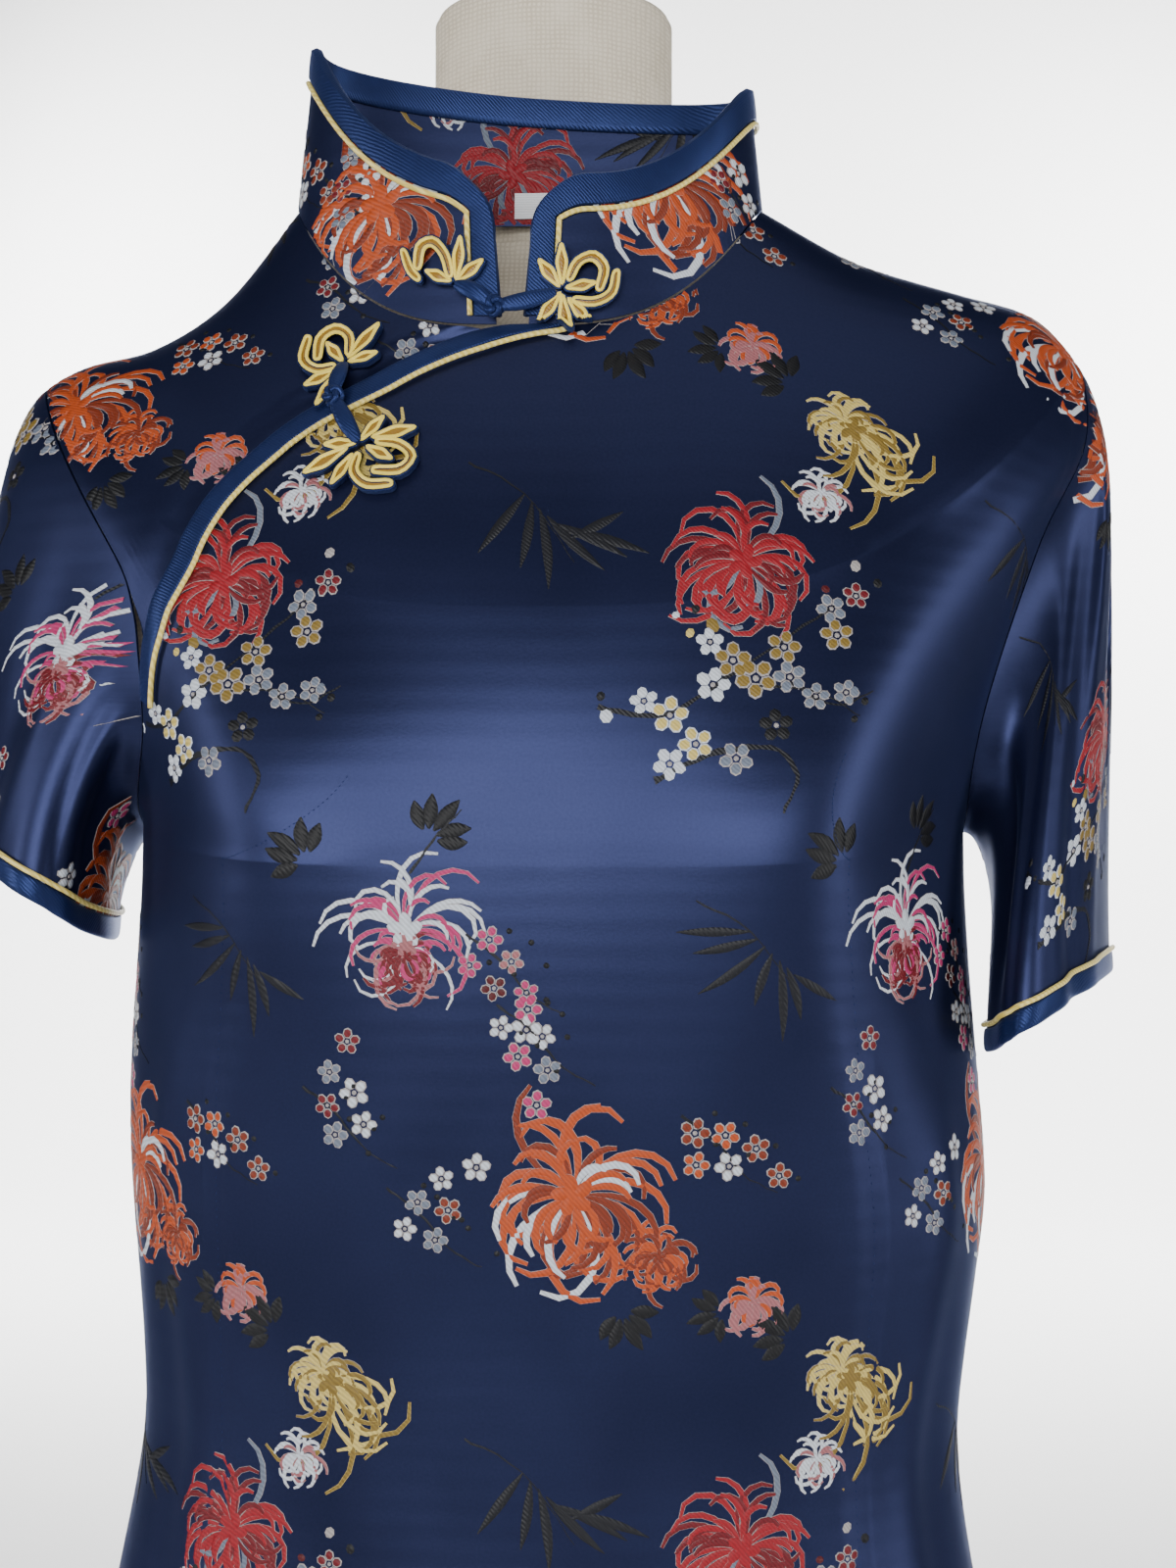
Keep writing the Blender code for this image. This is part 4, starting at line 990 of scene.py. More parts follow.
def strip(line, widths, fill, edge, lift, rim=0.022):
    """A woven band along a line, pale at its edges, which dip into the ground."""
    line = np.array(line)
    along = np.gradient(line, axis=0)
    along /= np.maximum(np.linalg.norm(along, axis=1, keepdims=True), 1e-9)
    aside = np.stack([-along[:, 1], along[:, 0]], axis=1)
    widths = np.array(widths)[:, None]
    inner = np.maximum(widths - rim, widths * 0.45)
    outwards = (-widths, -inner, 0 * widths, inner, widths)
    points = np.stack([line + aside * off for off in outwards], axis=1).reshape(-1, 2)
    lifts = np.tile([SUNK, lift - 0.04, lift, lift - 0.04, SUNK], len(line))
    faces, colours = [], []
    for i in range(len(line) - 1):
        for j in range(4):
            a = i * 5 + j
            faces.append((a, a + 1, a + 6, a + 5))
            colours.append(edge if edge and j in (0, 3) else fill)
    return Woven(points, lifts, faces, colours)


def turned(x, y, u, v, turn):
    """The place that is u along and v aside of x, y, in a shape turned by an angle."""
    return x + u * math.cos(turn) - v * math.sin(turn), y + u * math.sin(turn) + v * math.cos(turn)


def disc(x, y, radius, fill, edge=None, lift=0.26, stretch=1.0, turn=0.0):
    """A woven round petal or berry."""
    sides = 7
    points, lifts, faces, colours = [(x, y)], [lift], [], []
    for share, high in ((0.72, lift - 0.03), (1.0, SUNK)):
        for i in range(sides):
            angle = math.tau * i / sides
            u, v = math.cos(angle) * radius * share * stretch, math.sin(angle) * radius * share
            points.append(turned(x, y, u, v, turn))
            lifts.append(high)
    for i in range(sides):
        j = (i + 1) % sides
        faces += [(0, 1 + i, 1 + j), (1 + i, 1 + sides + i, 1 + sides + j, 1 + j)]
        colours += [fill, edge or fill]
    return Woven(np.array(points), np.array(lifts), faces, colours)


def vary(seed, size):
    """An even-tempered wobble from -size to size, the same each run."""
    return size * math.sin(seed * 12.9898 + 4.1 * math.sin(seed * 7.233))


def bent_line(x, y, length, steps, heading):
    """Points of a line that starts at x, y, with its heading given for each share of its length."""
    line = [(x, y)]
    for i in range(steps):
        bend = heading(i / steps)
        x += math.cos(bend) * length / steps
        y += math.sin(bend) * length / steps
        line.append((x, y))
    return line


def petal(x, y, angle, length, half_width, curl, fill, edge, lift):
    """A chrysanthemum petal: it leaves the heart thin, swells, and its tip hooks over."""
    line = bent_line(x, y, length, 7, lambda t: angle + curl * (0.25 * t + 0.75 * t**2))
    widths = [half_width * (0.2 + 0.8 * math.sin(math.pi * (0.05 + 0.8 * t))) for t in spread(0, 1, 7)]
    return strip(line, widths, fill, edge, lift)


def chrysanthemum(x, y, size, fills, edge, seed, facing=(0.0, 360.0), rings=4, droop=0.2, wide=0.062):
    """Rings of petals round a heart, the outer ones longest and lowest, their tips hooked down."""
    shapes = []
    start, end = facing
    for ring in range(rings):
        reach = 1.3 - 0.95 * ring / rings
        count = round((6 + 13 * reach / 1.3) * (0.2 + 0.8 * (end - start) / 360))
        for i in range(count):
            s = seed + ring * 31 + i * 1.7
            angle = math.radians(start + (end - start) * (i + 0.5 * (ring % 2)) / count + vary(s, 9))
            length = size * reach * (1 + vary(s + 3, 0.16)) * (1 + droop * max(-math.sin(angle), 0))
            away = -1 if math.cos(angle + vary(s, 1.1)) > 0 else 1
            curl = away * (2.9 - 0.3 * ring) * (1 + vary(s + 5, 0.3))
            fill = fills[int(abs(vary(s + 9, 1)) * 2.999 * len(fills) / 3) % len(fills)]
            root = turned(x, y, 0.1 * size, 0, angle)
            shapes.append(petal(*root, angle, length, wide * size, curl, fill, edge, 0.15 + 0.04 * ring))
    for i in range(5):
        angle = seed + math.tau * i / 5
        shapes.append(petal(x, y, angle, 0.25 * size, 0.09 * size, 1.2, fills[-1], edge, 0.32))
    return shapes


def blossom(x, y, radius, fill, edge, turn=0.0):
    """A five-petalled plum blossom with its heart."""
    shapes = []
    for i in range(5):
        angle = turn + math.tau * i / 5
        middle = turned(x, y, 0.62 * radius, 0, angle)
        shapes.append(disc(*middle, radius * 0.4, fill, edge, turn=angle, stretch=1.12))
    shapes.append(disc(x, y, radius * 0.17, PALE, lift=0.3))
    return shapes


def twig(points, width):
    """A knotty black twig through a few points, thinner towards its end."""
    line, widths = [], []
    for place in spread(0, len(points) - 1, 5 * (len(points) - 1)):
        s = place + points[0][0]
        line.append((between([p[0] for p in points], place) + vary(s * 3, 0.03),
                     between([p[1] for p in points], place) + vary(s * 5, 0.03)))
        widths.append(width * (1 - 0.6 * place / (len(points) - 1)) * (1 + vary(s * 11, 0.3)))
    return [strip(line, widths, INK, None, lift=0.18, rim=0.0)]


def leaf(x, y, angle, length, width, bend, fill, edge=None):
    """A leaf pointed at both ends."""
    line = bent_line(x, y, length, 6, lambda t: angle + bend * t)
    widths = [max(width * math.sin(math.pi * (0.06 + 0.9 * t)), 0.01) for t in spread(0, 1, 6)]
    return [strip(line, widths, fill, edge, lift=0.18, rim=0.03)]


def bamboo(x, y, size, angle):
    """A tuft of narrow leaves that hang from one joint of the stem, and the stem itself."""
    shapes = twig([(x - 0.9 * size, y + 0.5 * size), (x, y), (x + 0.8 * size, y - 1.1 * size)], 0.035)
    for i in range(7):
        turn = angle + (i - 3) * 0.42 + vary(x + i, 0.12)
        root = (x + 0.12 * i * size, y - 0.12 * i * size)
        length = size * (1.15 + vary(i + y, 0.25))
        shapes += leaf(*root, turn, length, 0.085 * size, vary(i, 0.3), INK)
    return shapes


def dark_leaves(x, y, size, angle):
    """A spray of three lobed leaves, nearly lost in the ground."""
    shapes = []
    for i in range(5):
        turn = angle + (i - 2) * 0.55
        root = turned(x, y, 0.25 * size, 0, turn)
        length = size * (1 - 0.12 * abs(i - 2))
        shapes += leaf(*root, turn, length, 0.2 * size, vary(x + i, 0.4), BLACK, INK)
    return shapes


def plum_branch(x, y):
    """The long branch under the red flower: three twigs and a crowd of blossoms along them."""
    shapes = []
    for line, width in (
        (((-5.0, -0.6), (-2.8, -0.9), (-0.6, 0.4), (1.8, 2.2), (3.6, 3.7)), 0.085),
        (((-3.0, -3.2), (-1.2, -2.3), (1.0, -2.0), (1.9, -3.0), (1.4, -4.3)), 0.12),
        (((0.4, 0.2), (2.6, 0.1), (4.2, -0.8)), 0.05),
    ):
        shapes += twig([(x + u, y + v) for u, v in line], width)
    for u, v, radius, fill, edge, turn in (
        (-2.5, -0.9, 0.66, CREAM, WHITE, 0.2), (-1.6, -1.9, 0.62, CREAM, WHITE, 0.7),
        (-3.4, -0.4, 0.5, WHITE, WHITE, 0.5), (-2.5, -2.6, 0.58, WHITE, WHITE, 0.9),
        (-1.0, 0.2, 0.62, WHITE, WHITE, 0.1), (-1.1, 1.7, 0.5, WHITE, WHITE, 0.4),
        (-0.3, 1.1, 0.66, GOLD, PALE, 0.3), (0.5, 0.5, 0.74, GOLD, PALE, 0.9),
        (1.5, 1.7, 0.62, GOLD, PALE, 0.1), (3.4, 2.3, 0.62, GOLD, PALE, 0.5),
        (1.7, 0.6, 0.6, GREY, PALE, 0.6), (2.6, -0.1, 0.52, GREY, PALE, 0.2),
        (3.2, 3.3, 0.55, GREY, PALE, 0.8), (4.1, 3.9, 0.5, CRIMSON, PALE, 0.3),
        (-0.2, -2.4, 0.6, GREY, PALE, 0.9), (1.2, -1.2, 0.6, BLACK, BLACK, 0.4),
    ):
        shapes += blossom(x + u, y + v, radius, fill, edge, turn)
    for u, v, radius, fill in (
        (-4.9, -0.2, 0.17, INK), (-4.7, -0.9, 0.26, WHITE), (-2.3, 2.7, 0.16, WHITE),
        (-1.6, 2.9, 0.2, INK), (-1.8, 2.0, 0.17, CREAM), (-1.0, 2.3, 0.26, GOLD),
        (4.4, -0.2, 0.16, BLACK), (4.0, -0.9, 0.14, BLACK), (4.1, 5.0, 0.2, PALE),
        (4.9, 4.5, 0.18, BLACK), (3.0, 4.0, 0.15, DEEP_RED), (4.0, 0.2, 0.16, GREY),
    ):
        shapes.append(disc(x + u, y + v, radius, fill, stretch=1.15, turn=u))
    return shapes


def small_branch(x, y, turn, fills):
    """A short spray of blossoms and buds."""
    shapes = twig([(x - 1.2, y + 0.9), (x, y), (x + 1.0, y - 1.2), (x + 2.2, y - 1.9)], 0.05)
    places = ((-0.6, 0.5), (0.4, 0.1), (0.2, -1.0), (1.3, -0.7), (1.8, -1.9), (-0.9, -0.6))
    for i, (u, v) in enumerate(places):
        fill = fills[i % len(fills)]
        across, up = turned(x, y, u, v, turn)
        shapes += blossom(across, up, 0.5 + vary(i + x, 0.06), fill, PALE, i)
        shapes.append(disc(across + 0.7, y + v + 0.5, 0.12, BLACK))
    return shapes


def repeat():
    """One repeat's motifs: across from the centre front, and up from the floor, in centimetres."""
    red_fills = (GREY, CRIMSON, RED, CRIMSON, CRIMSON, RED, RED)
    orange_fills = (WHITE, RUST, ORANGE, RUST, ORANGE, ORANGE)
    return [
        chrysanthemum(7.6, 132.4, 2.5, red_fills, PALE, 1.0, droop=0.0, wide=0.052),
        plum_branch(7.5, 127.8),
        chrysanthemum(11.3, 138.5, 1.25, (CREAM, GOLD, CREAM), PALE, 2.3, rings=3, wide=0.08)
        + chrysanthemum(11.6, 138.2, 2.1, (CREAM, GOLD), CREAM, 3.7, (265, 385), 3, 0.6, 0.05),
        dark_leaves(9.4, 139.8, 1.3, 2.6),
        chrysanthemum(8.0, 141.2, 0.95, (ORANGE, ROSE), PALE, 3.1, rings=2, wide=0.12)
        + dark_leaves(6.9, 140.9, 1.1, 3.4),
        chrysanthemum(10.4, 135.4, 0.9, (ROSE, WHITE), PALE, 4.4, rings=2, wide=0.1),
        bamboo(-0.2, 135.2, 2.3, -0.9),
        bamboo(7.8, 119.4, 2.1, -1.9),
        chrysanthemum(-4.2, 119.4, 2.5, (WHITE, PINK, WHITE), PALE, 5.2, (0, 180), 3, 0.0, 0.042)
        + chrysanthemum(-4.2, 118.9, 1.9, (WHITE, ROSE), PALE, 9.2, (180, 360), 2, 0.1, 0.042)
        + chrysanthemum(-4.2, 118.5, 1.1, (PINK, CRIMSON), PALE, 6.7, rings=3, droop=0.3, wide=0.1),
        dark_leaves(-7.6, 121.8, 1.4, 2.4) + dark_leaves(-3.4, 122.6, 1.4, 0.9),
        twig([(-4.0, 121.4), (-3.0, 122.8), (-2.2, 123.6)], 0.05),
        small_branch(-0.9, 118.4, -0.4, (PINK, ROSE, DEEP_RED, PINK, WHITE)),
        small_branch(0.2, 115.9, -0.7, (PINK, WHITE, PINK, GREY)),
        chrysanthemum(1.6, 110.1, 3.0, orange_fills, PALE, 7.9, droop=0.1, wide=0.052),
        chrysanthemum(4.6, 107.9, 1.15, (ORANGE, RUST), PALE, 8.8, rings=3, wide=0.1)
        + dark_leaves(3.3, 106.0, 1.3, -1.2),
        small_branch(-3.8, 109.4, 1.5, (WHITE, GREY, RUST, WHITE)),
        small_branch(6.6, 112.0, 0.3, (RUST, ORANGE, WHITE, RUST)),
        small_branch(-6.8, 112.9, 2.2, (GREY, CRIMSON, WHITE)),
        twig([(-9.6, 128.2), (-8.0, 127.4), (-6.6, 128.0)], 0.06) + blossom(-7.6, 127.9, 0.5, GREY, PALE),
    ]


def joined(shapes):
    """Many woven shapes as one."""
    points = np.concatenate([shape.points for shape in shapes])
    lifts = np.concatenate([shape.lifts for shape in shapes])
    faces, colours, base = [], [], 0
    for shape in shapes:
        faces += [tuple(base + corner for corner in face) for face in shape.faces]
        colours += shape.colours
        base += len(shape.points)
    return Woven(points, lifts, faces, colours)


REPEAT = [joined(motif) for motif in repeat()]


def sampled(values, row, column):
    """A grid's values between its points, also a little past its edges."""
    low_row = np.clip(np.floor(row).astype(int), 0, values.shape[0] - 2)
    low_column = np.clip(np.floor(column).astype(int), 0, values.shape[1] - 2)
    s, t = row - low_row, column - low_column
    if values.ndim == 3:
        s, t = s[:, None], t[:, None]
    return (
        values[low_row, low_column] * (1 - s) * (1 - t) + values[low_row + 1, low_column] * s * (1 - t)
        + values[low_row, low_column + 1] * (1 - s) * t + values[low_row + 1, low_column + 1] * s * t
    )


# How near a search comes to its place, in centimetres, its rounds, and its longest step in grid cells
SETTLED, SEARCH_ROUNDS, LONGEST_STEP = 0.1, 14, 6
PAST_EDGE = 8  # grid cells


def missed(laid, across, down, row, column):
    """How far across and down a search is from its places."""
    return across - sampled(laid.across, row, column), down - sampled(laid.down, row, column)


def found_on(laid, across, down):
    """Row and column of places on the flat cloth, and which of them settled. None if all are far."""
    rows = np.arange(0, laid.across.shape[0], 4)
    columns = np.arange(0, laid.across.shape[1], 4)
    far = (laid.across[np.ix_(rows, columns)] - across.mean()) ** 2
    far = far + (laid.down[np.ix_(rows, columns)] - down.mean()) ** 2
    nearest = np.unravel_index(np.argmin(far), far.shape)
    reach = max(np.ptp(across), np.ptp(down)) / 2 + 1.5
    if far[nearest] > reach**2:
        return None
    row = np.full(len(across), float(rows[nearest[0]]))
    column = np.full(len(across), float(columns[nearest[1]]))
    for _ in range(SEARCH_ROUNDS):
        miss_across, miss_down = missed(laid, across, down, row, column)
        a_row = sampled(laid.across, row + 0.5, column) - sampled(laid.across, row - 0.5, column)
        a_col = sampled(laid.across, row, column + 0.5) - sampled(laid.across, row, column - 0.5)
        d_row = sampled(laid.down, row + 0.5, column) - sampled(laid.down, row - 0.5, column)
        d_col = sampled(laid.down, row, column + 0.5) - sampled(laid.down, row, column - 0.5)
        size = a_row * d_col - a_col * d_row
        size = np.where(np.abs(size) < 1e-5, 1e-5, size)
        row_step = (miss_across * d_col - a_col * miss_down) / size
        column_step = (a_row * miss_down - miss_across * d_row) / size
        row += np.clip(row_step, -LONGEST_STEP, LONGEST_STEP)
        column += np.clip(column_step, -LONGEST_STEP, LONGEST_STEP)
        row = np.clip(row, -PAST_EDGE, laid.across.shape[0] - 1 + PAST_EDGE)
        column = np.clip(column, -PAST_EDGE, laid.across.shape[1] - 1 + PAST_EDGE)
    return row, column, np.hypot(*missed(laid, across, down, row, column)) < SETTLED


def mesh_of(name, points, faces, colours=None):
    """A piece from its points and faces, with the colour of each face if they are given: its thread, or
    painted shade in a frog's loop.
    """
    data = bpy.data.meshes.new(name)
    data.from_pydata([tuple(point) for point in points], [], faces)
    if colours:
        thread = data.color_attributes.new("thread", "FLOAT_COLOR", "CORNER")
        known = {colour: linear(colour) for colour in set(colours)}
        shades = np.array([known[colour] for colour, face in zip(colours, faces) for _ in face])
        thread.data.foreach_set("color", shades.ravel())
    obj = bpy.data.objects.new(name, data)
    bpy.context.scene.collection.objects.link(obj)
    return obj


def weave_in(name, laid, placed, skip=None):
    """Lays woven shapes, each with its step across and up, on a panel, cut off at its edges."""
    points, faces, colours, base = [], [], [], 0
    last_row, last_column = laid.across.shape[0] - 1, laid.across.shape[1] - 1
    for shape, step_across, step_up in placed:
        across, down = shape.points[:, 0] + step_across, -(shape.points[:, 1] + step_up)
        place = found_on(laid, across, down)
        if place is None:
            continue
        row, column, settled = place
        inside = settled & (row > 0) & (row < last_row) & (column > 0) & (column < last_column)
        if skip is not None:
            inside &= ~skip(row, column)
        if not inside.any():
            continue
        row, column = np.clip(row, 0, last_row), np.clip(column, 0, last_column)
        lift = shape.lifts[:, None] * MM
        points.append(sampled(laid.points, row, column) + sampled(laid.normals, row, column) * lift)
        for face, colour in zip(shape.faces, shape.colours):
            if all(inside[corner] for corner in face):
                faces.append([base + corner for corner in face])
                colours.append(colour)
        base += len(across)
    woven = mesh_of(name, np.concatenate(points), faces, colours)
    mended(woven, bpy.ops.mesh.delete_loose)
    dressed(woven, SILK, angle=60)


def repeats(offset_across, offset_up, columns, rows):
    """The repeat's motifs, stepped over a panel."""
    return [
        (motif, offset_across + i * REPEAT_WIDTH, offset_up + j * REPEAT_HEIGHT)
        for i in columns for j in rows for motif in REPEAT
    ]


def in_back_opening(row, column):
    """The gap between the back's halves, above where they meet."""
    return (row < CLOSED_FROM) & (column > BACK_HALF) & (column < BACK_HALF + 1)


whole_width, upper, lower, sleeve_rows = (-2, -1, 0, 1), (0, 1), (-2, -1), (-1, 0, 1)
back_upper, back_lower = repeats(5.0, -9.0, whole_width, upper), repeats(5.0, -9.0, whole_width, lower)
weave_in("front_flowers_above", front_laid, repeats(0, 0, whole_width, upper))
weave_in("front_flowers_below", front_laid, repeats(0, 0, whole_width, lower))
weave_in("under_front_flowers", under_laid, repeats(-1, -4, (-2, -1, 0), upper))
weave_in("back_flowers_above", back_laid, back_upper, skip=in_back_opening)
weave_in("back_flowers_below", back_laid, back_lower, skip=in_back_opening)
weave_in("sleeve_right_flowers", sleeves_laid[0], repeats(3.0, 10.0, whole_width, sleeve_rows))
weave_in("sleeve_left_flowers", sleeves_laid[1], repeats(-6.0, -6.0, whole_width, sleeve_rows))
# The collar's own list: the number of the motif, then its step across and up
collar_cut = (
    (13, 13.6, 36.3), (13, -18.4, 37.1), (17, 20.6, 34.0), (17, -7.6, 34.3), (16, -18.8, 33.5),
    (0, -1.6, 17.0), (1, -1.6, 17.4), (16, 4.0, 36.5), (4, -12.0, 8.0),
)
weave_in("collar_flowers", collar_laid, [(REPEAT[motif], across, up) for motif, across, up in collar_cut])
inside_points = collar_laid.points - collar_laid.normals * CLOTH
inside_laid = collar_laid._replace(points=inside_points, normals=-collar_laid.normals)
weave_in("collar_lining_flowers", inside_laid, repeats(-7.6, 17.2, (-1, 0, 1), (0,)))

# The frogs. A bias strip of navy satin is stiffened, folded on edge and bent into petals, and each
# loop is filled with satin behind a yellow welt, the filling coloured a deep gold as painted shade
# where it sinks into the loop. They are sewn down from under the cloth.
FROG_HEIGHT, WELT = 2.6 * MM, 0.72 * MM
ON_PANEL, ON_PIPING = 0.5 * MM, 2 * PIPING_RADIUS + 2 * SEAM_GAP
KNOT_RADIUS = 4.5 * MM


def gold_satin():
    """Yellow satin, its colour by the attribute "thread": deep gold in the loops as painted shade."""
    made, tree, shader = finish_named("yellow frog satin")
    colour = node(tree, "ShaderNodeAttribute", {"attribute_name": "thread"}).outputs["Color"]
    place = node(tree, "ShaderNodeTexCoord").outputs["Object"]
    # Threads of a fine satin cord, drawn at 0.4 mm
    threads = node(tree, "ShaderNodeTexWave", {"bands_direction": "DIAGONAL"}, Vector=place,
                   Scale=420.0, Distortion=2.0, Detail=2.0).outputs[1]
    bump = node(tree, "ShaderNodeBump", Strength=0.35, Distance=0.0002, Height=threads).outputs[0]
    wired(tree, shader, Base_Color=colour, Normal=bump, Roughness=0.36, Sheen_Weight=0.2,
          Sheen_Tint=linear("#FFF3B0"))
    return made


FROG_GOLD = gold_satin()
# The welt is yellow. The deep gold of the loops' filling is painted shade where it sinks into the loop.
WELT_YELLOW, LOOP_PAINTED_SHADE_GOLD = "#EBD154", "#8A651A"


def eased(points, count):
    """A closed curve through a few points, as many points along it."""
    size = len(points)
    curve = []
    for i in range(count):
        place = i * size / count
        k, t = int(place), place - int(place)
        a, b, c, d = (Vector(points[(k + step) % size]) for step in (-1, 0, 1, 2))
        bend, twist = 2 * a - 5 * b + 4 * c - d, 3 * b - a - 3 * c + d
        curve.append(0.5 * (2 * b + (c - a) * t + bend * t**2 + twist * t**3))
    return curve


def drop(x, y, degrees, length, half_width):
    """A pointed petal round a place, for one loop of the strip."""
    side = ((-0.2, 0.62), (0.1, 1.0), (0.36, 0.5))
    shape = ((-0.5, 0.0), *side, (0.56, 0.0), *((u, -v) for u, v in reversed(side)))
    return [turned(x, y, u * length, v * half_width, math.radians(degrees)) for u, v in shape]


def bow(points, half_width):
    """A long bent petal along a line, round at its far end."""
    line = np.array(points)
    along = np.gradient(line, axis=0)
    along /= np.linalg.norm(along, axis=1, keepdims=True)
    aside = np.stack([-along[:, 1], along[:, 0]], axis=1)
    shares = np.linspace(0, 1, len(line))[:, None]
    widths = half_width * (0.35 + 0.65 * np.sin(math.pi * (0.15 + 0.6 * shares)))
    tip = line[-1] + along[-1] * half_width
    return [*(line + aside * widths).tolist(), tip.tolist(), *(line - aside * widths)[::-1].tolist()]


def closed_piece(name, points, faces, colours=None):
    """A piece from its points and faces, all of them turned to face outwards."""
    obj = mesh_of(name, points, faces, colours)
    mended(obj, bpy.ops.mesh.normals_make_consistent, inside=False)
    return obj


def tube_face(base, here, after, side, sides):
    """One face of a tube, between two of its rings of points."""
    beside = (side + 1) % sides
    ends = ((here, side), (here, beside), (after, beside), (after, side))
    return [base + ring * sides + point for ring, point in ends]


def frog_flower(name, loops, at, lift):
    """One flower: at gives the place of a point right and above its middle, moved out by a lift."""
    gold_points, gold_faces, colours, strip_points, strip_faces = [], [], [], [], []
    around, sides = 32, 7
    for loop in loops:
        line = eased(loop, around)
        middle = sum(line, Vector((0, 0))) / around
        base = len(gold_points)
        for i, (here, after) in enumerate(zip(line, line[1:] + line[:1])):
            ahead = (after - line[i - 1]).normalized()
            aside = Vector((-ahead.y, ahead.x))
            for k in range(sides):
                turn = math.tau * k / sides
                off = here + aside * math.cos(turn) * WELT / CM
                gold_points.append(at(off.x, off.y, lift + FROG_HEIGHT + WELT * math.sin(turn)))
                gold_faces.append(tube_face(base, i, (i + 1) % around, k, sides))
                colours.append(WELT_YELLOW)
        # The filling, from one side of the loop to the other, in deep gold as painted shade
        base = len(gold_points)
        for left, right in zip(line[:around // 2], reversed(line[around // 2:])):
            for share, high in ((0, -0.5), (0.3, 0.0), (0.7, 0.0), (1, -0.5)):
                inner = left.lerp(right, share)
                gold_points.append(at(inner.x, inner.y, lift + FROG_HEIGHT + high * MM))
        for i in range(around // 2 - 1):
            for k in range(3):
                first = base + 4 * i + k
                gold_faces.append([first, first + 1, first + 5, first + 4])
                colours.append(LOOP_PAINTED_SHADE_GOLD)
        base = len(strip_points)
        for i, here in enumerate(line):
            ahead = (line[(i + 1) % around] - line[i - 1]).normalized()
            out = Vector((ahead.y, -ahead.x)) * (1.5 * WELT / CM)
            if out.dot(here - middle) < 0:
                out = -out
            for share, height in ((1.0, 0.0), (1.0, 0.92), (0.55, 1.0)):
                place = here + out * share
                strip_points.append(at(place.x, place.y, lift + FROG_HEIGHT * height))
            strip_faces += [tube_face(base, i, (i + 1) % around, k, 3) for k in (0, 1)]
    gold = closed_piece(f"{name}_gold", gold_points, gold_faces, colours)
    dressed(gold, FROG_GOLD, angle=50)
    folded = closed_piece(f"{name}_strip", strip_points, strip_faces)
    wall = folded.modifiers.new("wall", "SOLIDIFY")
    wall.thickness = 0.35 * MM
    wall.offset = 0
    dressed(folded, BINDING, name, angle=50)


def collar_at(degrees, height):
    def place(right, up, lift):
        return collar_point(degrees_along(degrees, 0, right * CM), height + up, lift)
    return place


def cloth_at(x, z, lift):
    """The point of the front that is seen at x and z, in centimetres, moved out by lift."""
    degrees, level = x * 4.0, 1.0
    for _ in range(25):
        here = figure_point(degrees, level) / CM
        across = (figure_point(degrees + 0.5, level) / CM - here) * 2
        down = (figure_point(degrees, level + 0.02) / CM - here) * 50
        miss_x, miss_z = x - here.x, z - here.z
        size = across.x * down.z - down.x * across.z
        degrees += 0.7 * (miss_x * down.z - down.x * miss_z) / size
        level += 0.7 * (across.x * miss_z - miss_x * across.z) / size
    return cloth_point(degrees, level, lift)


def chest_at(x, z):
    def place(right, up, lift):
        return cloth_at(x + right, z + up, lift)
    return place


frog_flower("collar_button_flower", (
    drop(0.1, 0.95, 86, 1.5, 0.17), drop(0.5, 0.5, 42, 1.15, 0.17), drop(-0.62, 0.25, 165, 0.95, 0.17),
    bow([(-0.2, 0.35), (-0.42, 1.05), (-0.9, 1.5), (-1.4, 1.25), (-1.5, 0.55)], 0.16),
    bow([(-1.45, 0.05), (-1.8, 0.3), (-2.1, 0.85)], 0.14),
), collar_at(-6.5, 1.35), ON_PIPING)
frog_flower("collar_loop_flower", (
    drop(0.02, 0.9, 90, 1.4, 0.17), drop(-0.42, 0.58, 125, 1.15, 0.18), drop(0.68, 0.1, 6, 1.0, 0.16),
    bow([(0.3, 0.4), (0.62, 0.98), (1.2, 1.15), (1.6, 0.65), (1.42, 0.0)], 0.15),
    bow([(0.5, -0.42), (1.2, -0.55), (1.85, -0.3), (2.05, 0.35)], 0.14),
    drop(-0.42, -0.62, 233, 1.2, 0.17), drop(0.08, -0.95, 275, 1.45, 0.18),
    drop(0.6, -0.82, 308, 1.15, 0.16),
), collar_at(16.0, 1.15), ON_PIPING)
frog_flower("chest_button_flower", (
    drop(0.65, 0.85, 52, 1.6, 0.18), drop(0.68, 0.2, 18, 1.0, 0.15), drop(-0.38, 0.45, 130, 0.95, 0.16),
    bow([(0.15, 0.4), (0.1, 1.1), (-0.42, 1.45), (-0.98, 1.1), (-1.05, 0.35)], 0.15),
    bow([(-0.4, -0.12), (-1.05, -0.2), (-1.6, 0.25), (-1.5, 1.05)], 0.14),
    drop(-0.85, -0.55, 205, 1.15, 0.17), drop(-0.5, -0.95, 238, 1.45, 0.18),
), chest_at(-7.1, 140.0), ON_PANEL)
frog_flower("chest_loop_flower", (
    drop(0.45, 0.5, 48, 1.1, 0.16), drop(1.25, 0.33, 12, 1.5, 0.19), drop(0.78, -0.42, 332, 1.0, 0.16),
    bow([(0.75, 0.0), (1.5, -0.12), (2.0, -0.6), (1.6, -1.1), (0.75, -1.1)], 0.14),
    bow([(0.0, -0.5), (-0.1, -1.1), (0.4, -1.6), (1.2, -1.62)], 0.14),
    drop(-0.65, -0.02, 182, 1.1, 0.16), drop(-1.15, -0.6, 210, 1.7, 0.19),
    drop(-0.55, -0.95, 235, 1.2, 0.16),
), chest_at(-6.3, 136.8), ON_PANEL)


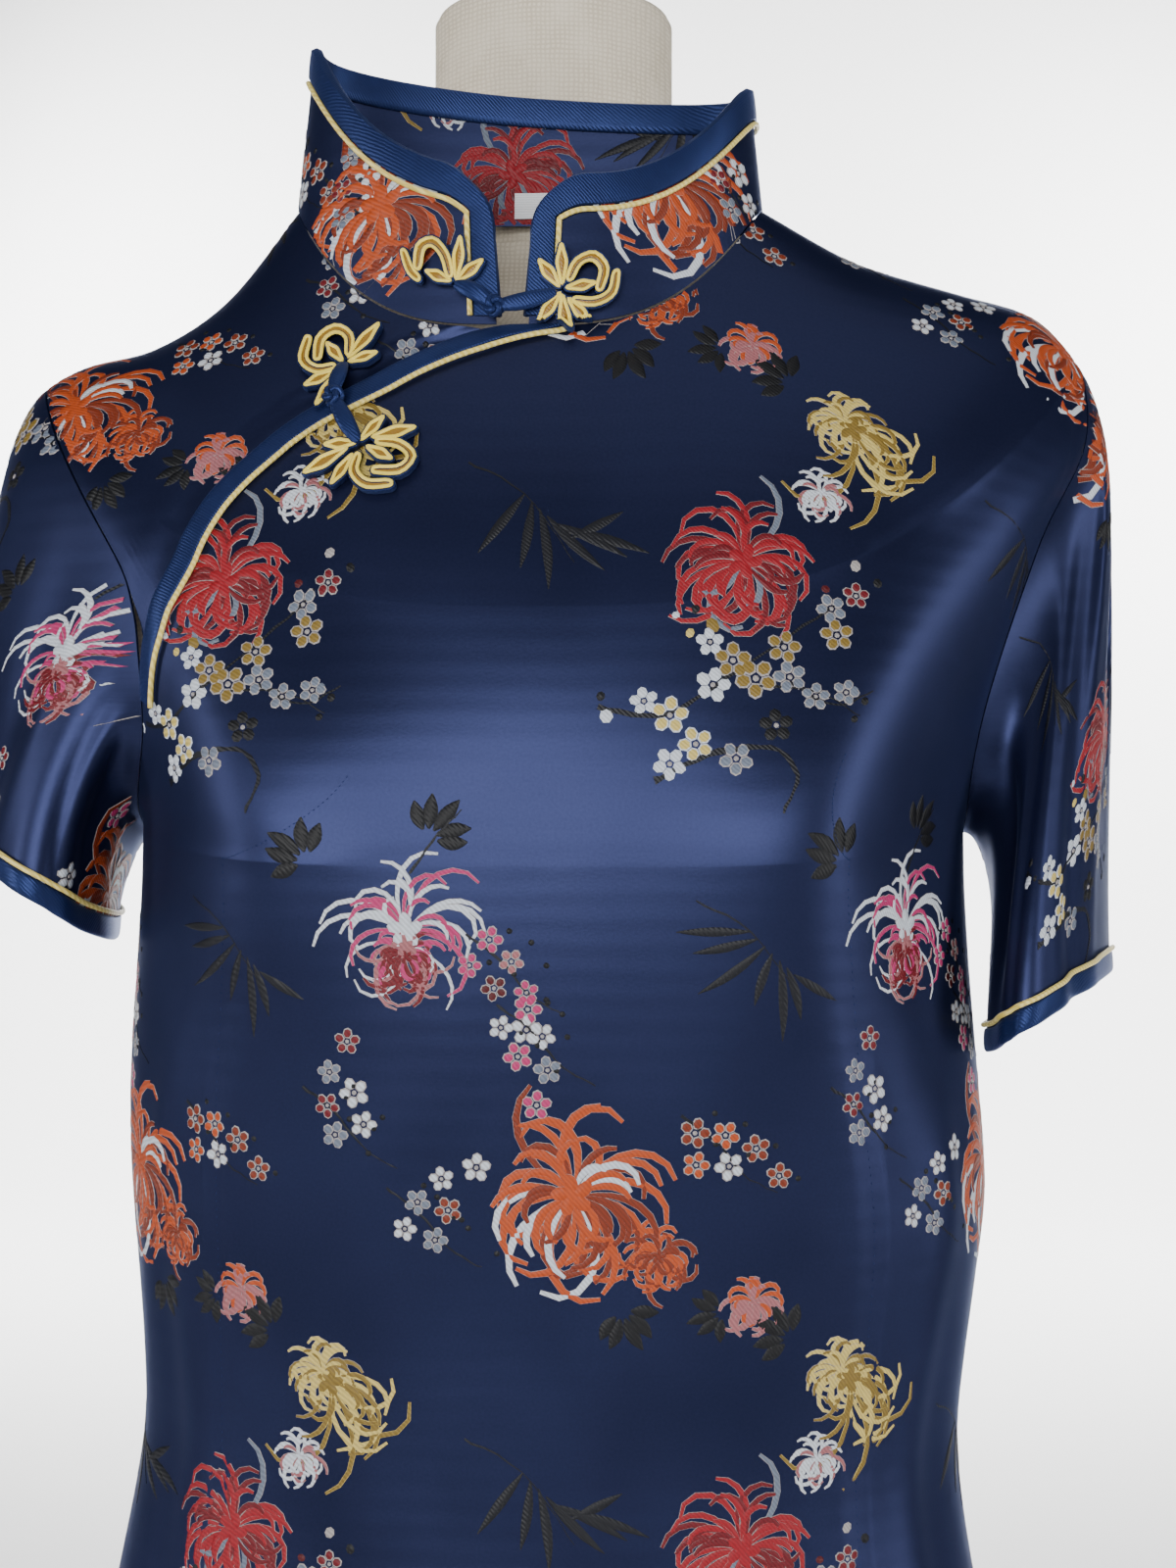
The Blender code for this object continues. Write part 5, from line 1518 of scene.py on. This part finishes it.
def rolled(name, paths):
    """Rolled strips of satin: each path is points with a half width, a half height and a way out."""
    points, faces = [], []
    sides = 12
    for path in paths:
        base = len(points)
        for i, (here, wide, high, out) in enumerate(path):
            ahead = (path[min(i + 1, len(path) - 1)][0] - path[max(i - 1, 0)][0]).normalized()
            aside = ahead.cross(out).normalized()
            for k in range(sides):
                turn = math.tau * k / sides
                crease = 1 - 0.3 * max(0, math.cos(turn * 2 + math.pi)) ** 4
                off = aside * math.cos(turn) * wide + out * math.sin(turn) * high
                points.append(here + off * crease)
        for i in range(len(path) - 1):
            faces += [tube_face(base, i, i + 1, k, sides) for k in range(sides)]
        faces.append([base + k for k in range(sides)])
        faces.append([base + (len(path) - 1) * sides + k for k in range(sides)])
    dressed(closed_piece(name, points, faces), BINDING, angle=60)


def knot(name, at, lift, ends):
    """A ball knot of rolled strip, and the folded strip from it to the middle of each flower."""
    heart = at(0, 0, lift + KNOT_RADIUS)
    out = (at(0, 0, 1.0) - at(0, 0, 0.0)).normalized()
    right = (at(0.5, 0, 0) - at(-0.5, 0, 0)).normalized()
    up = out.cross(right)
    turns, sides, roll = 72, 8, 1.15 * MM
    points, faces = [], []

    def on_knot(i):
        """A place along the knot's line: three times round, and four times in and out."""
        t = math.tau * i / turns
        wide = 2.15 + 1.15 * math.cos(4 * t)
        flat = right * wide * math.cos(3 * t) + up * wide * math.sin(3 * t)
        return heart + (flat + out * 1.7 * math.sin(4 * t)) * MM

    for i in range(turns * 2):
        here = on_knot(i / 2)
        ahead = (on_knot(i / 2 + 0.5) - on_knot(i / 2 - 0.5)).normalized()
        aside = ahead.cross(heart - here).normalized()
        rise = aside.cross(ahead)
        for k in range(sides):
            turn = math.tau * k / sides
            points.append(here + (aside * math.cos(turn) + rise * math.sin(turn)) * roll)
            faces.append(tube_face(0, i, (i + 1) % (turns * 2), k, sides))
    ball = closed_piece(f"{name}_satin", points, faces)
    dressed(ball, BINDING, name, angle=70)
    paths = []
    for end, shift in ends:
        path = []
        for step in range(13):
            t = step / 12
            swell = math.sin(math.pi * t)
            here = heart.lerp(end, t) + out * (1.2 * MM * swell) + up * shift * MM * swell
            path.append((here, (1.6 + 1.7 * swell**0.8) * MM, (1.4 - 0.3 * t) * MM, out))
        paths.append(path)
    rolled(f"{name}_straps", paths)


on_collar, on_chest = ON_PIPING + FROG_HEIGHT, ON_PANEL + FROG_HEIGHT
knot("collar_knot", collar_at(2.5, 0.55), 1.9 * MM, (
    (collar_at(-6.5, 1.35)(0, 0, on_collar), 1.0), (collar_at(16.0, 1.15)(-0.2, -0.1, on_collar), -1.0),
))
knot("chest_knot", chest_at(-7.3, 138.5), 1.3 * MM, (
    (chest_at(-7.1, 140.0)(0, 0, on_chest), 0.8), (chest_at(-6.3, 136.8)(0, 0, on_chest), -0.8),
))

# The sewing: the dart seams show as a row of pulled-in stitches, and the collar's binding is felled
# inside by hand.
STITCH_RADIUS = 0.2 * MM


def stitches(name, places, half_length):
    """Small threads: each place is a point, the way it runs and the way out of the cloth."""
    points, faces = [], []
    for here, ahead, out in places:
        base = len(points)
        aside = ahead.cross(out).normalized()
        points.append(here - ahead * half_length - out * STITCH_RADIUS)
        for k in range(5):
            turn = math.tau * k / 5
            points.append(here + (aside * math.cos(turn) + out * math.sin(turn)) * STITCH_RADIUS)
        points.append(here + ahead * half_length - out * STITCH_RADIUS)
        for k in range(5):
            m = (k + 1) % 5
            faces += [[base, base + 1 + m, base + 1 + k], [base + 6, base + 1 + k, base + 1 + m]]
    dressed(closed_piece(name, points, faces), BINDING, angle=60)


def on_panel(laid, row, column, lift):
    spot = (np.array([row]), np.array([column]))
    outward = Vector(sampled(laid.normals, *spot)[0])
    return Vector(sampled(laid.points, *spot)[0]) + outward * lift, outward


dart_places = []
for column in (DART_COLUMN, FRONT_COLUMNS - DART_COLUMN):
    for row in np.arange(len(TOP_LEVELS) + 22.0, len(LEVELS) - 2.0, 0.45):
        here, outward = on_panel(front_laid, row, column, 0.08 * MM)
        below, _ = on_panel(front_laid, row + 0.4, column, 0.08 * MM)
        dart_places.append((here, (below - here).normalized(), outward))
stitches("front_dart_stitches", dart_places, 0.8 * MM)

fell = [collar_place(*place, -CLOTH - 1.3 * MM) for place in collar_edge(BINDING_WIDTH / CM)]
fell_places = []
for before, after in zip(fell[::2], fell[1::2]):
    ahead = (after - before).normalized()
    inward = Vector((-before.x, 0.02 - before.y, 0)).normalized()
    fell_places.append((before, (ahead + Vector((0, 0, 0.6))).normalized(), inward))
stitches("collar_fell_stitches", fell_places, 0.9 * MM)

# The dress form: a hard torso covered in cream linen, with its neck leaning back behind the collar.
# The back of the dress stands open below the collar, where the neck comes through.
FORM_FOOT = 16.6
FORM_LEVELS = (0.12, 0.6, 1.2, 1.9, 2.6, 3.3, 4, 4.5, 5, 5.6, 6.2, 7, 8, 9.5, 11, 12.5, 14, 15.5, FORM_FOOT)
FORM_CENTRE = Vector((0, 0.6, 143.4)) * CM  # where its shoulders close over, inside the collar
NECK_SHIFT, NECK_RADIUS = -0.4, 5.2
NeckRing = namedtuple("NeckRing", "height back")
NECK = (
    NeckRing(158, 8.9), NeckRing(152, 8.8), NeckRing(148, 8.6), NeckRing(145.5, 8.2), NeckRing(143, 7.1),
    NeckRing(140.5, 5.8), NeckRing(138, 4.4), NeckRing(135, 2.8),
)


def form_clearance(degrees, level):
    """Air between the form and the inner face of the cloth, least along the shoulder ridge."""
    ridge = hump(abs((degrees + 180) % 360 - 180), 90, 12)
    return (1.6 + 2.2 * (1 - ridge) + 8 * ramp(level, 2.6, 4.2)) * MM


def form_point(degrees, level):
    inwards = figure_normal(degrees, level) * (CLOTH + form_clearance(degrees, level))
    return figure_point(degrees, level) - inwards


def linen():
    made, tree, shader = finish_named("cream form linen")
    place = node(tree, "ShaderNodeTexCoord").outputs["Object"]
    # Linen threads 0.6 mm apart, drawn at 1 mm
    warp = node(tree, "ShaderNodeTexWave", {"bands_direction": "X"}, Vector=place, Scale=160.0,
                Distortion=3.0, Detail=3.0).outputs[1]
    weft = node(tree, "ShaderNodeTexWave", {"bands_direction": "Z"}, Vector=place, Scale=160.0,
                Distortion=3.0, Detail=3.0).outputs[1]
    cloth = node(tree, "ShaderNodeMath", {"operation": "MULTIPLY"}, n0=warp, n1=weft).outputs[0]
    slub = node(tree, "ShaderNodeTexNoise", Vector=place, Scale=60.0, Detail=4.0).outputs[0]
    tone = node(tree, "ShaderNodeMath", {"operation": "ADD"}, n0=cloth, n1=slub).outputs[0]
    shade = node(tree, "ShaderNodeMix", {"data_type": "RGBA"}, n0=tone,
                 n6=linear("#B5A78F"), n7=linear("#DDD3C0")).outputs[2]
    bump = node(tree, "ShaderNodeBump", Strength=0.4, Distance=0.0004, Height=tone).outputs[0]
    wired(tree, shader, Base_Color=shade, Normal=bump, Roughness=0.85)
    return made


def lofted(name, rings):
    """A closed form through rings of points, top first, with a fan at each end."""
    count = len(rings[0])
    points = [point for ring in rings for point in ring]
    faces = []
    for row in range(len(rings) - 1):
        faces += [tube_face(0, row, row + 1, i, count) for i in range(count)]
    for ring, first in ((rings[0], 0), (rings[-1], (len(rings) - 1) * count)):
        points.append(sum(ring, Vector()) / count)
        for i in range(count):
            faces.append([first + i, first + (i + 1) % count, len(points) - 1])
    return closed_piece(name, points, faces)


form_rings = []
form_columns = spread(0, 360, 96)[:-1]
shoulder = [form_point(degrees, FORM_LEVELS[0]) for degrees in form_columns]
for share in (0.98, 0.9, 0.78, 0.65, 0.5, 0.35, 0.2, 0.08):
    ring = []
    for low in shoulder:
        point = low.lerp(FORM_CENTRE, share)
        point.z = low.z + (FORM_CENTRE.z - low.z) * share**0.7
        ring.append(point)
    form_rings.append(ring)
form_levels = spread(FORM_LEVELS[0], FORM_LEVELS[-1], 90)
form_rings += [[form_point(degrees, level) for degrees in form_columns] for level in form_levels]
LINEN = linen()
torso = lofted("form_torso_linen", form_rings)
dressed(torso, LINEN, "form_torso")
neck_backs = [ring.back for ring in NECK]
neck_drops = [-ring.height for ring in NECK]
neck_rings = []
for height, share in (
    (158.0, 0.93), (157.9, 0.97), (157.6, 1.0), *((h, 1.0) for h in spread(157.0, 135.5, 30))
):
    back = between(neck_backs, float(np.interp(-height, neck_drops, range(len(NECK)))))
    neck_rings.append([
        Vector((NECK_SHIFT, back, height)) * CM
        + Vector((math.sin(turn), -math.cos(turn), 0)) * NECK_RADIUS * share * CM
        for turn in spread(0, math.tau, 96)[:-1]
    ])
dressed(lofted("form_neck_linen", neck_rings), LINEN)

# The stand: a brushed steel tube with a collar at its foot, welded to a spun round base.
def steel():
    made, tree, shader = finish_named("brushed steel")
    place = node(tree, "ShaderNodeTexCoord").outputs["Object"]
    brush = node(tree, "ShaderNodeTexNoise", Vector=place, Scale=300.0, Detail=4.0).outputs[0]
    rough = node(tree, "ShaderNodeMapRange", Value=brush, n1=0.3, n2=0.7, n3=0.24, n4=0.4).outputs[0]
    wired(tree, shader, Roughness=rough, Base_Color=linear("#C6C7C9"), Metallic=1.0)
    return made


STEEL = steel()


def spun(name, profile):
    """A turned piece from a profile of radius and height, top first."""
    turns = spread(0, math.tau, 96)[:-1]
    rings = [
        [Vector((math.cos(turn) * radius, math.sin(turn) * radius, height)) * CM for turn in turns]
        for radius, height in profile
    ]
    dressed(lofted(f"{name}_steel", rings), STEEL, name, angle=30)


foot = (min(point.z for point in form_rings[-1]) - SEAM_GAP) / CM
spun("stand_pole", (
    (4.4, foot), (4.5, foot - 0.1), (4.5, foot - 0.5), (4.4, foot - 0.6),
    (1.7, foot - 0.6), (1.5, foot - 0.9), (1.5, 3.0), (2.6, 3.0), (2.8, 2.8), (2.8, 1.23),
))
spun("stand_base", (
    (20.9, 1.2), (21.5, 1.14), (21.9, 0.95), (22.0, 0.7), (22.0, 0.25), (21.95, 0.08), (21.8, 0),
))

# The studio: a plain pale floor that rises into a backdrop, soft lights and the camera.
bpy.ops.mesh.primitive_grid_add(x_subdivisions=1, y_subdivisions=80, size=2, calc_uvs=False)
backdrop = bpy.context.object
backdrop.name = "backdrop"
# Metres of paper, how much of it lies in front of the form, and where it bends up into the wall
PAPER_LENGTH, PAPER_FRONT, PAPER_HALF_WIDTH = 14, 6, 12
BEND_START, BEND_LENGTH, WALL_STRETCH = 5.2, 1.6, 4
for vertex in backdrop.data.vertices:
    along = (vertex.co.y + 1) / 2 * PAPER_LENGTH - PAPER_FRONT
    turn = min(max((along - BEND_START) / BEND_LENGTH, 0), 1) * math.pi / 2
    wall = max(along - BEND_START - BEND_LENGTH, 0) * WALL_STRETCH
    level_part = min(along, BEND_START)
    vertex.co = (
        vertex.co.x * PAPER_HALF_WIDTH, level_part + math.sin(turn), 1 - math.cos(turn) + wall
    )
backdrop.data.shade_smooth()
paper, tree, shader = finish_named("pale studio paper")
wired(tree, shader, Base_Color=linear("#FAFAFA"), Roughness=0.9)
backdrop.data.materials.append(paper)


def soft_light(name, place, target, width, height, watts):
    """A soft box: a rectangle of light that faces its target."""
    deselect()
    bpy.ops.object.light_add(type="AREA", location=place)
    lamp = bpy.context.object
    lamp.name = name
    lamp.data.shape = "RECTANGLE"
    lamp.data.size = width
    lamp.data.size_y = height
    lamp.data.energy = watts
    lamp.rotation_euler = (Vector(target) - Vector(place)).to_track_quat("-Z", "Y").to_euler()


soft_light("key", (-0.35, -2.4, 1.4), (0, 0, 1.25), 1.6, 1.15, 58)
soft_light("right", (1.9, -0.9, 1.3), (0, 0, 1.2), 0.5, 1.6, 28)
soft_light("left", (-2.1, -0.9, 1.4), (0, 0, 1.2), 0.5, 1.4, 24)
soft_light("top", (0, -0.6, 3.2), (0, 0, 1.0), 2.2, 1.4, 10)
soft_light("paper left", (-2.2, 4.4, 2.6), (0, 6.2, 1.2), 1.6, 2.0, 330)
soft_light("paper right", (2.2, 4.4, 2.6), (0, 6.2, 1.2), 1.6, 2.0, 330)

world = bpy.data.worlds.new("studio")
world.use_nodes = True
sky = world.node_tree.nodes["Background"]
wired(world.node_tree, sky, Color=linear("#E6E8EE"), Strength=0.05)
bpy.context.scene.world = world

# The camera is level with the bust, 0.87 m from the middle of the dress, and turned 3 degrees
CAMERA_HEIGHT, CAMERA_DISTANCE, CAMERA_TURN, CAMERA_ASIDE = 1.245, 0.87, math.radians(3), 0.0157
deselect()
bpy.ops.object.camera_add()
camera = bpy.context.object
camera.name = "camera"
camera.data.lens = 50
camera.data.sensor_width = 36
camera.data.sensor_fit = "AUTO"
camera.rotation_euler = (math.pi / 2, 0, CAMERA_TURN)
right = Vector((math.cos(CAMERA_TURN), math.sin(CAMERA_TURN), 0))
ahead = Vector((-math.sin(CAMERA_TURN), math.cos(CAMERA_TURN), 0))
camera.location = right * CAMERA_ASIDE - ahead * CAMERA_DISTANCE + Vector((0, 0, CAMERA_HEIGHT))
bpy.context.scene.camera = camera
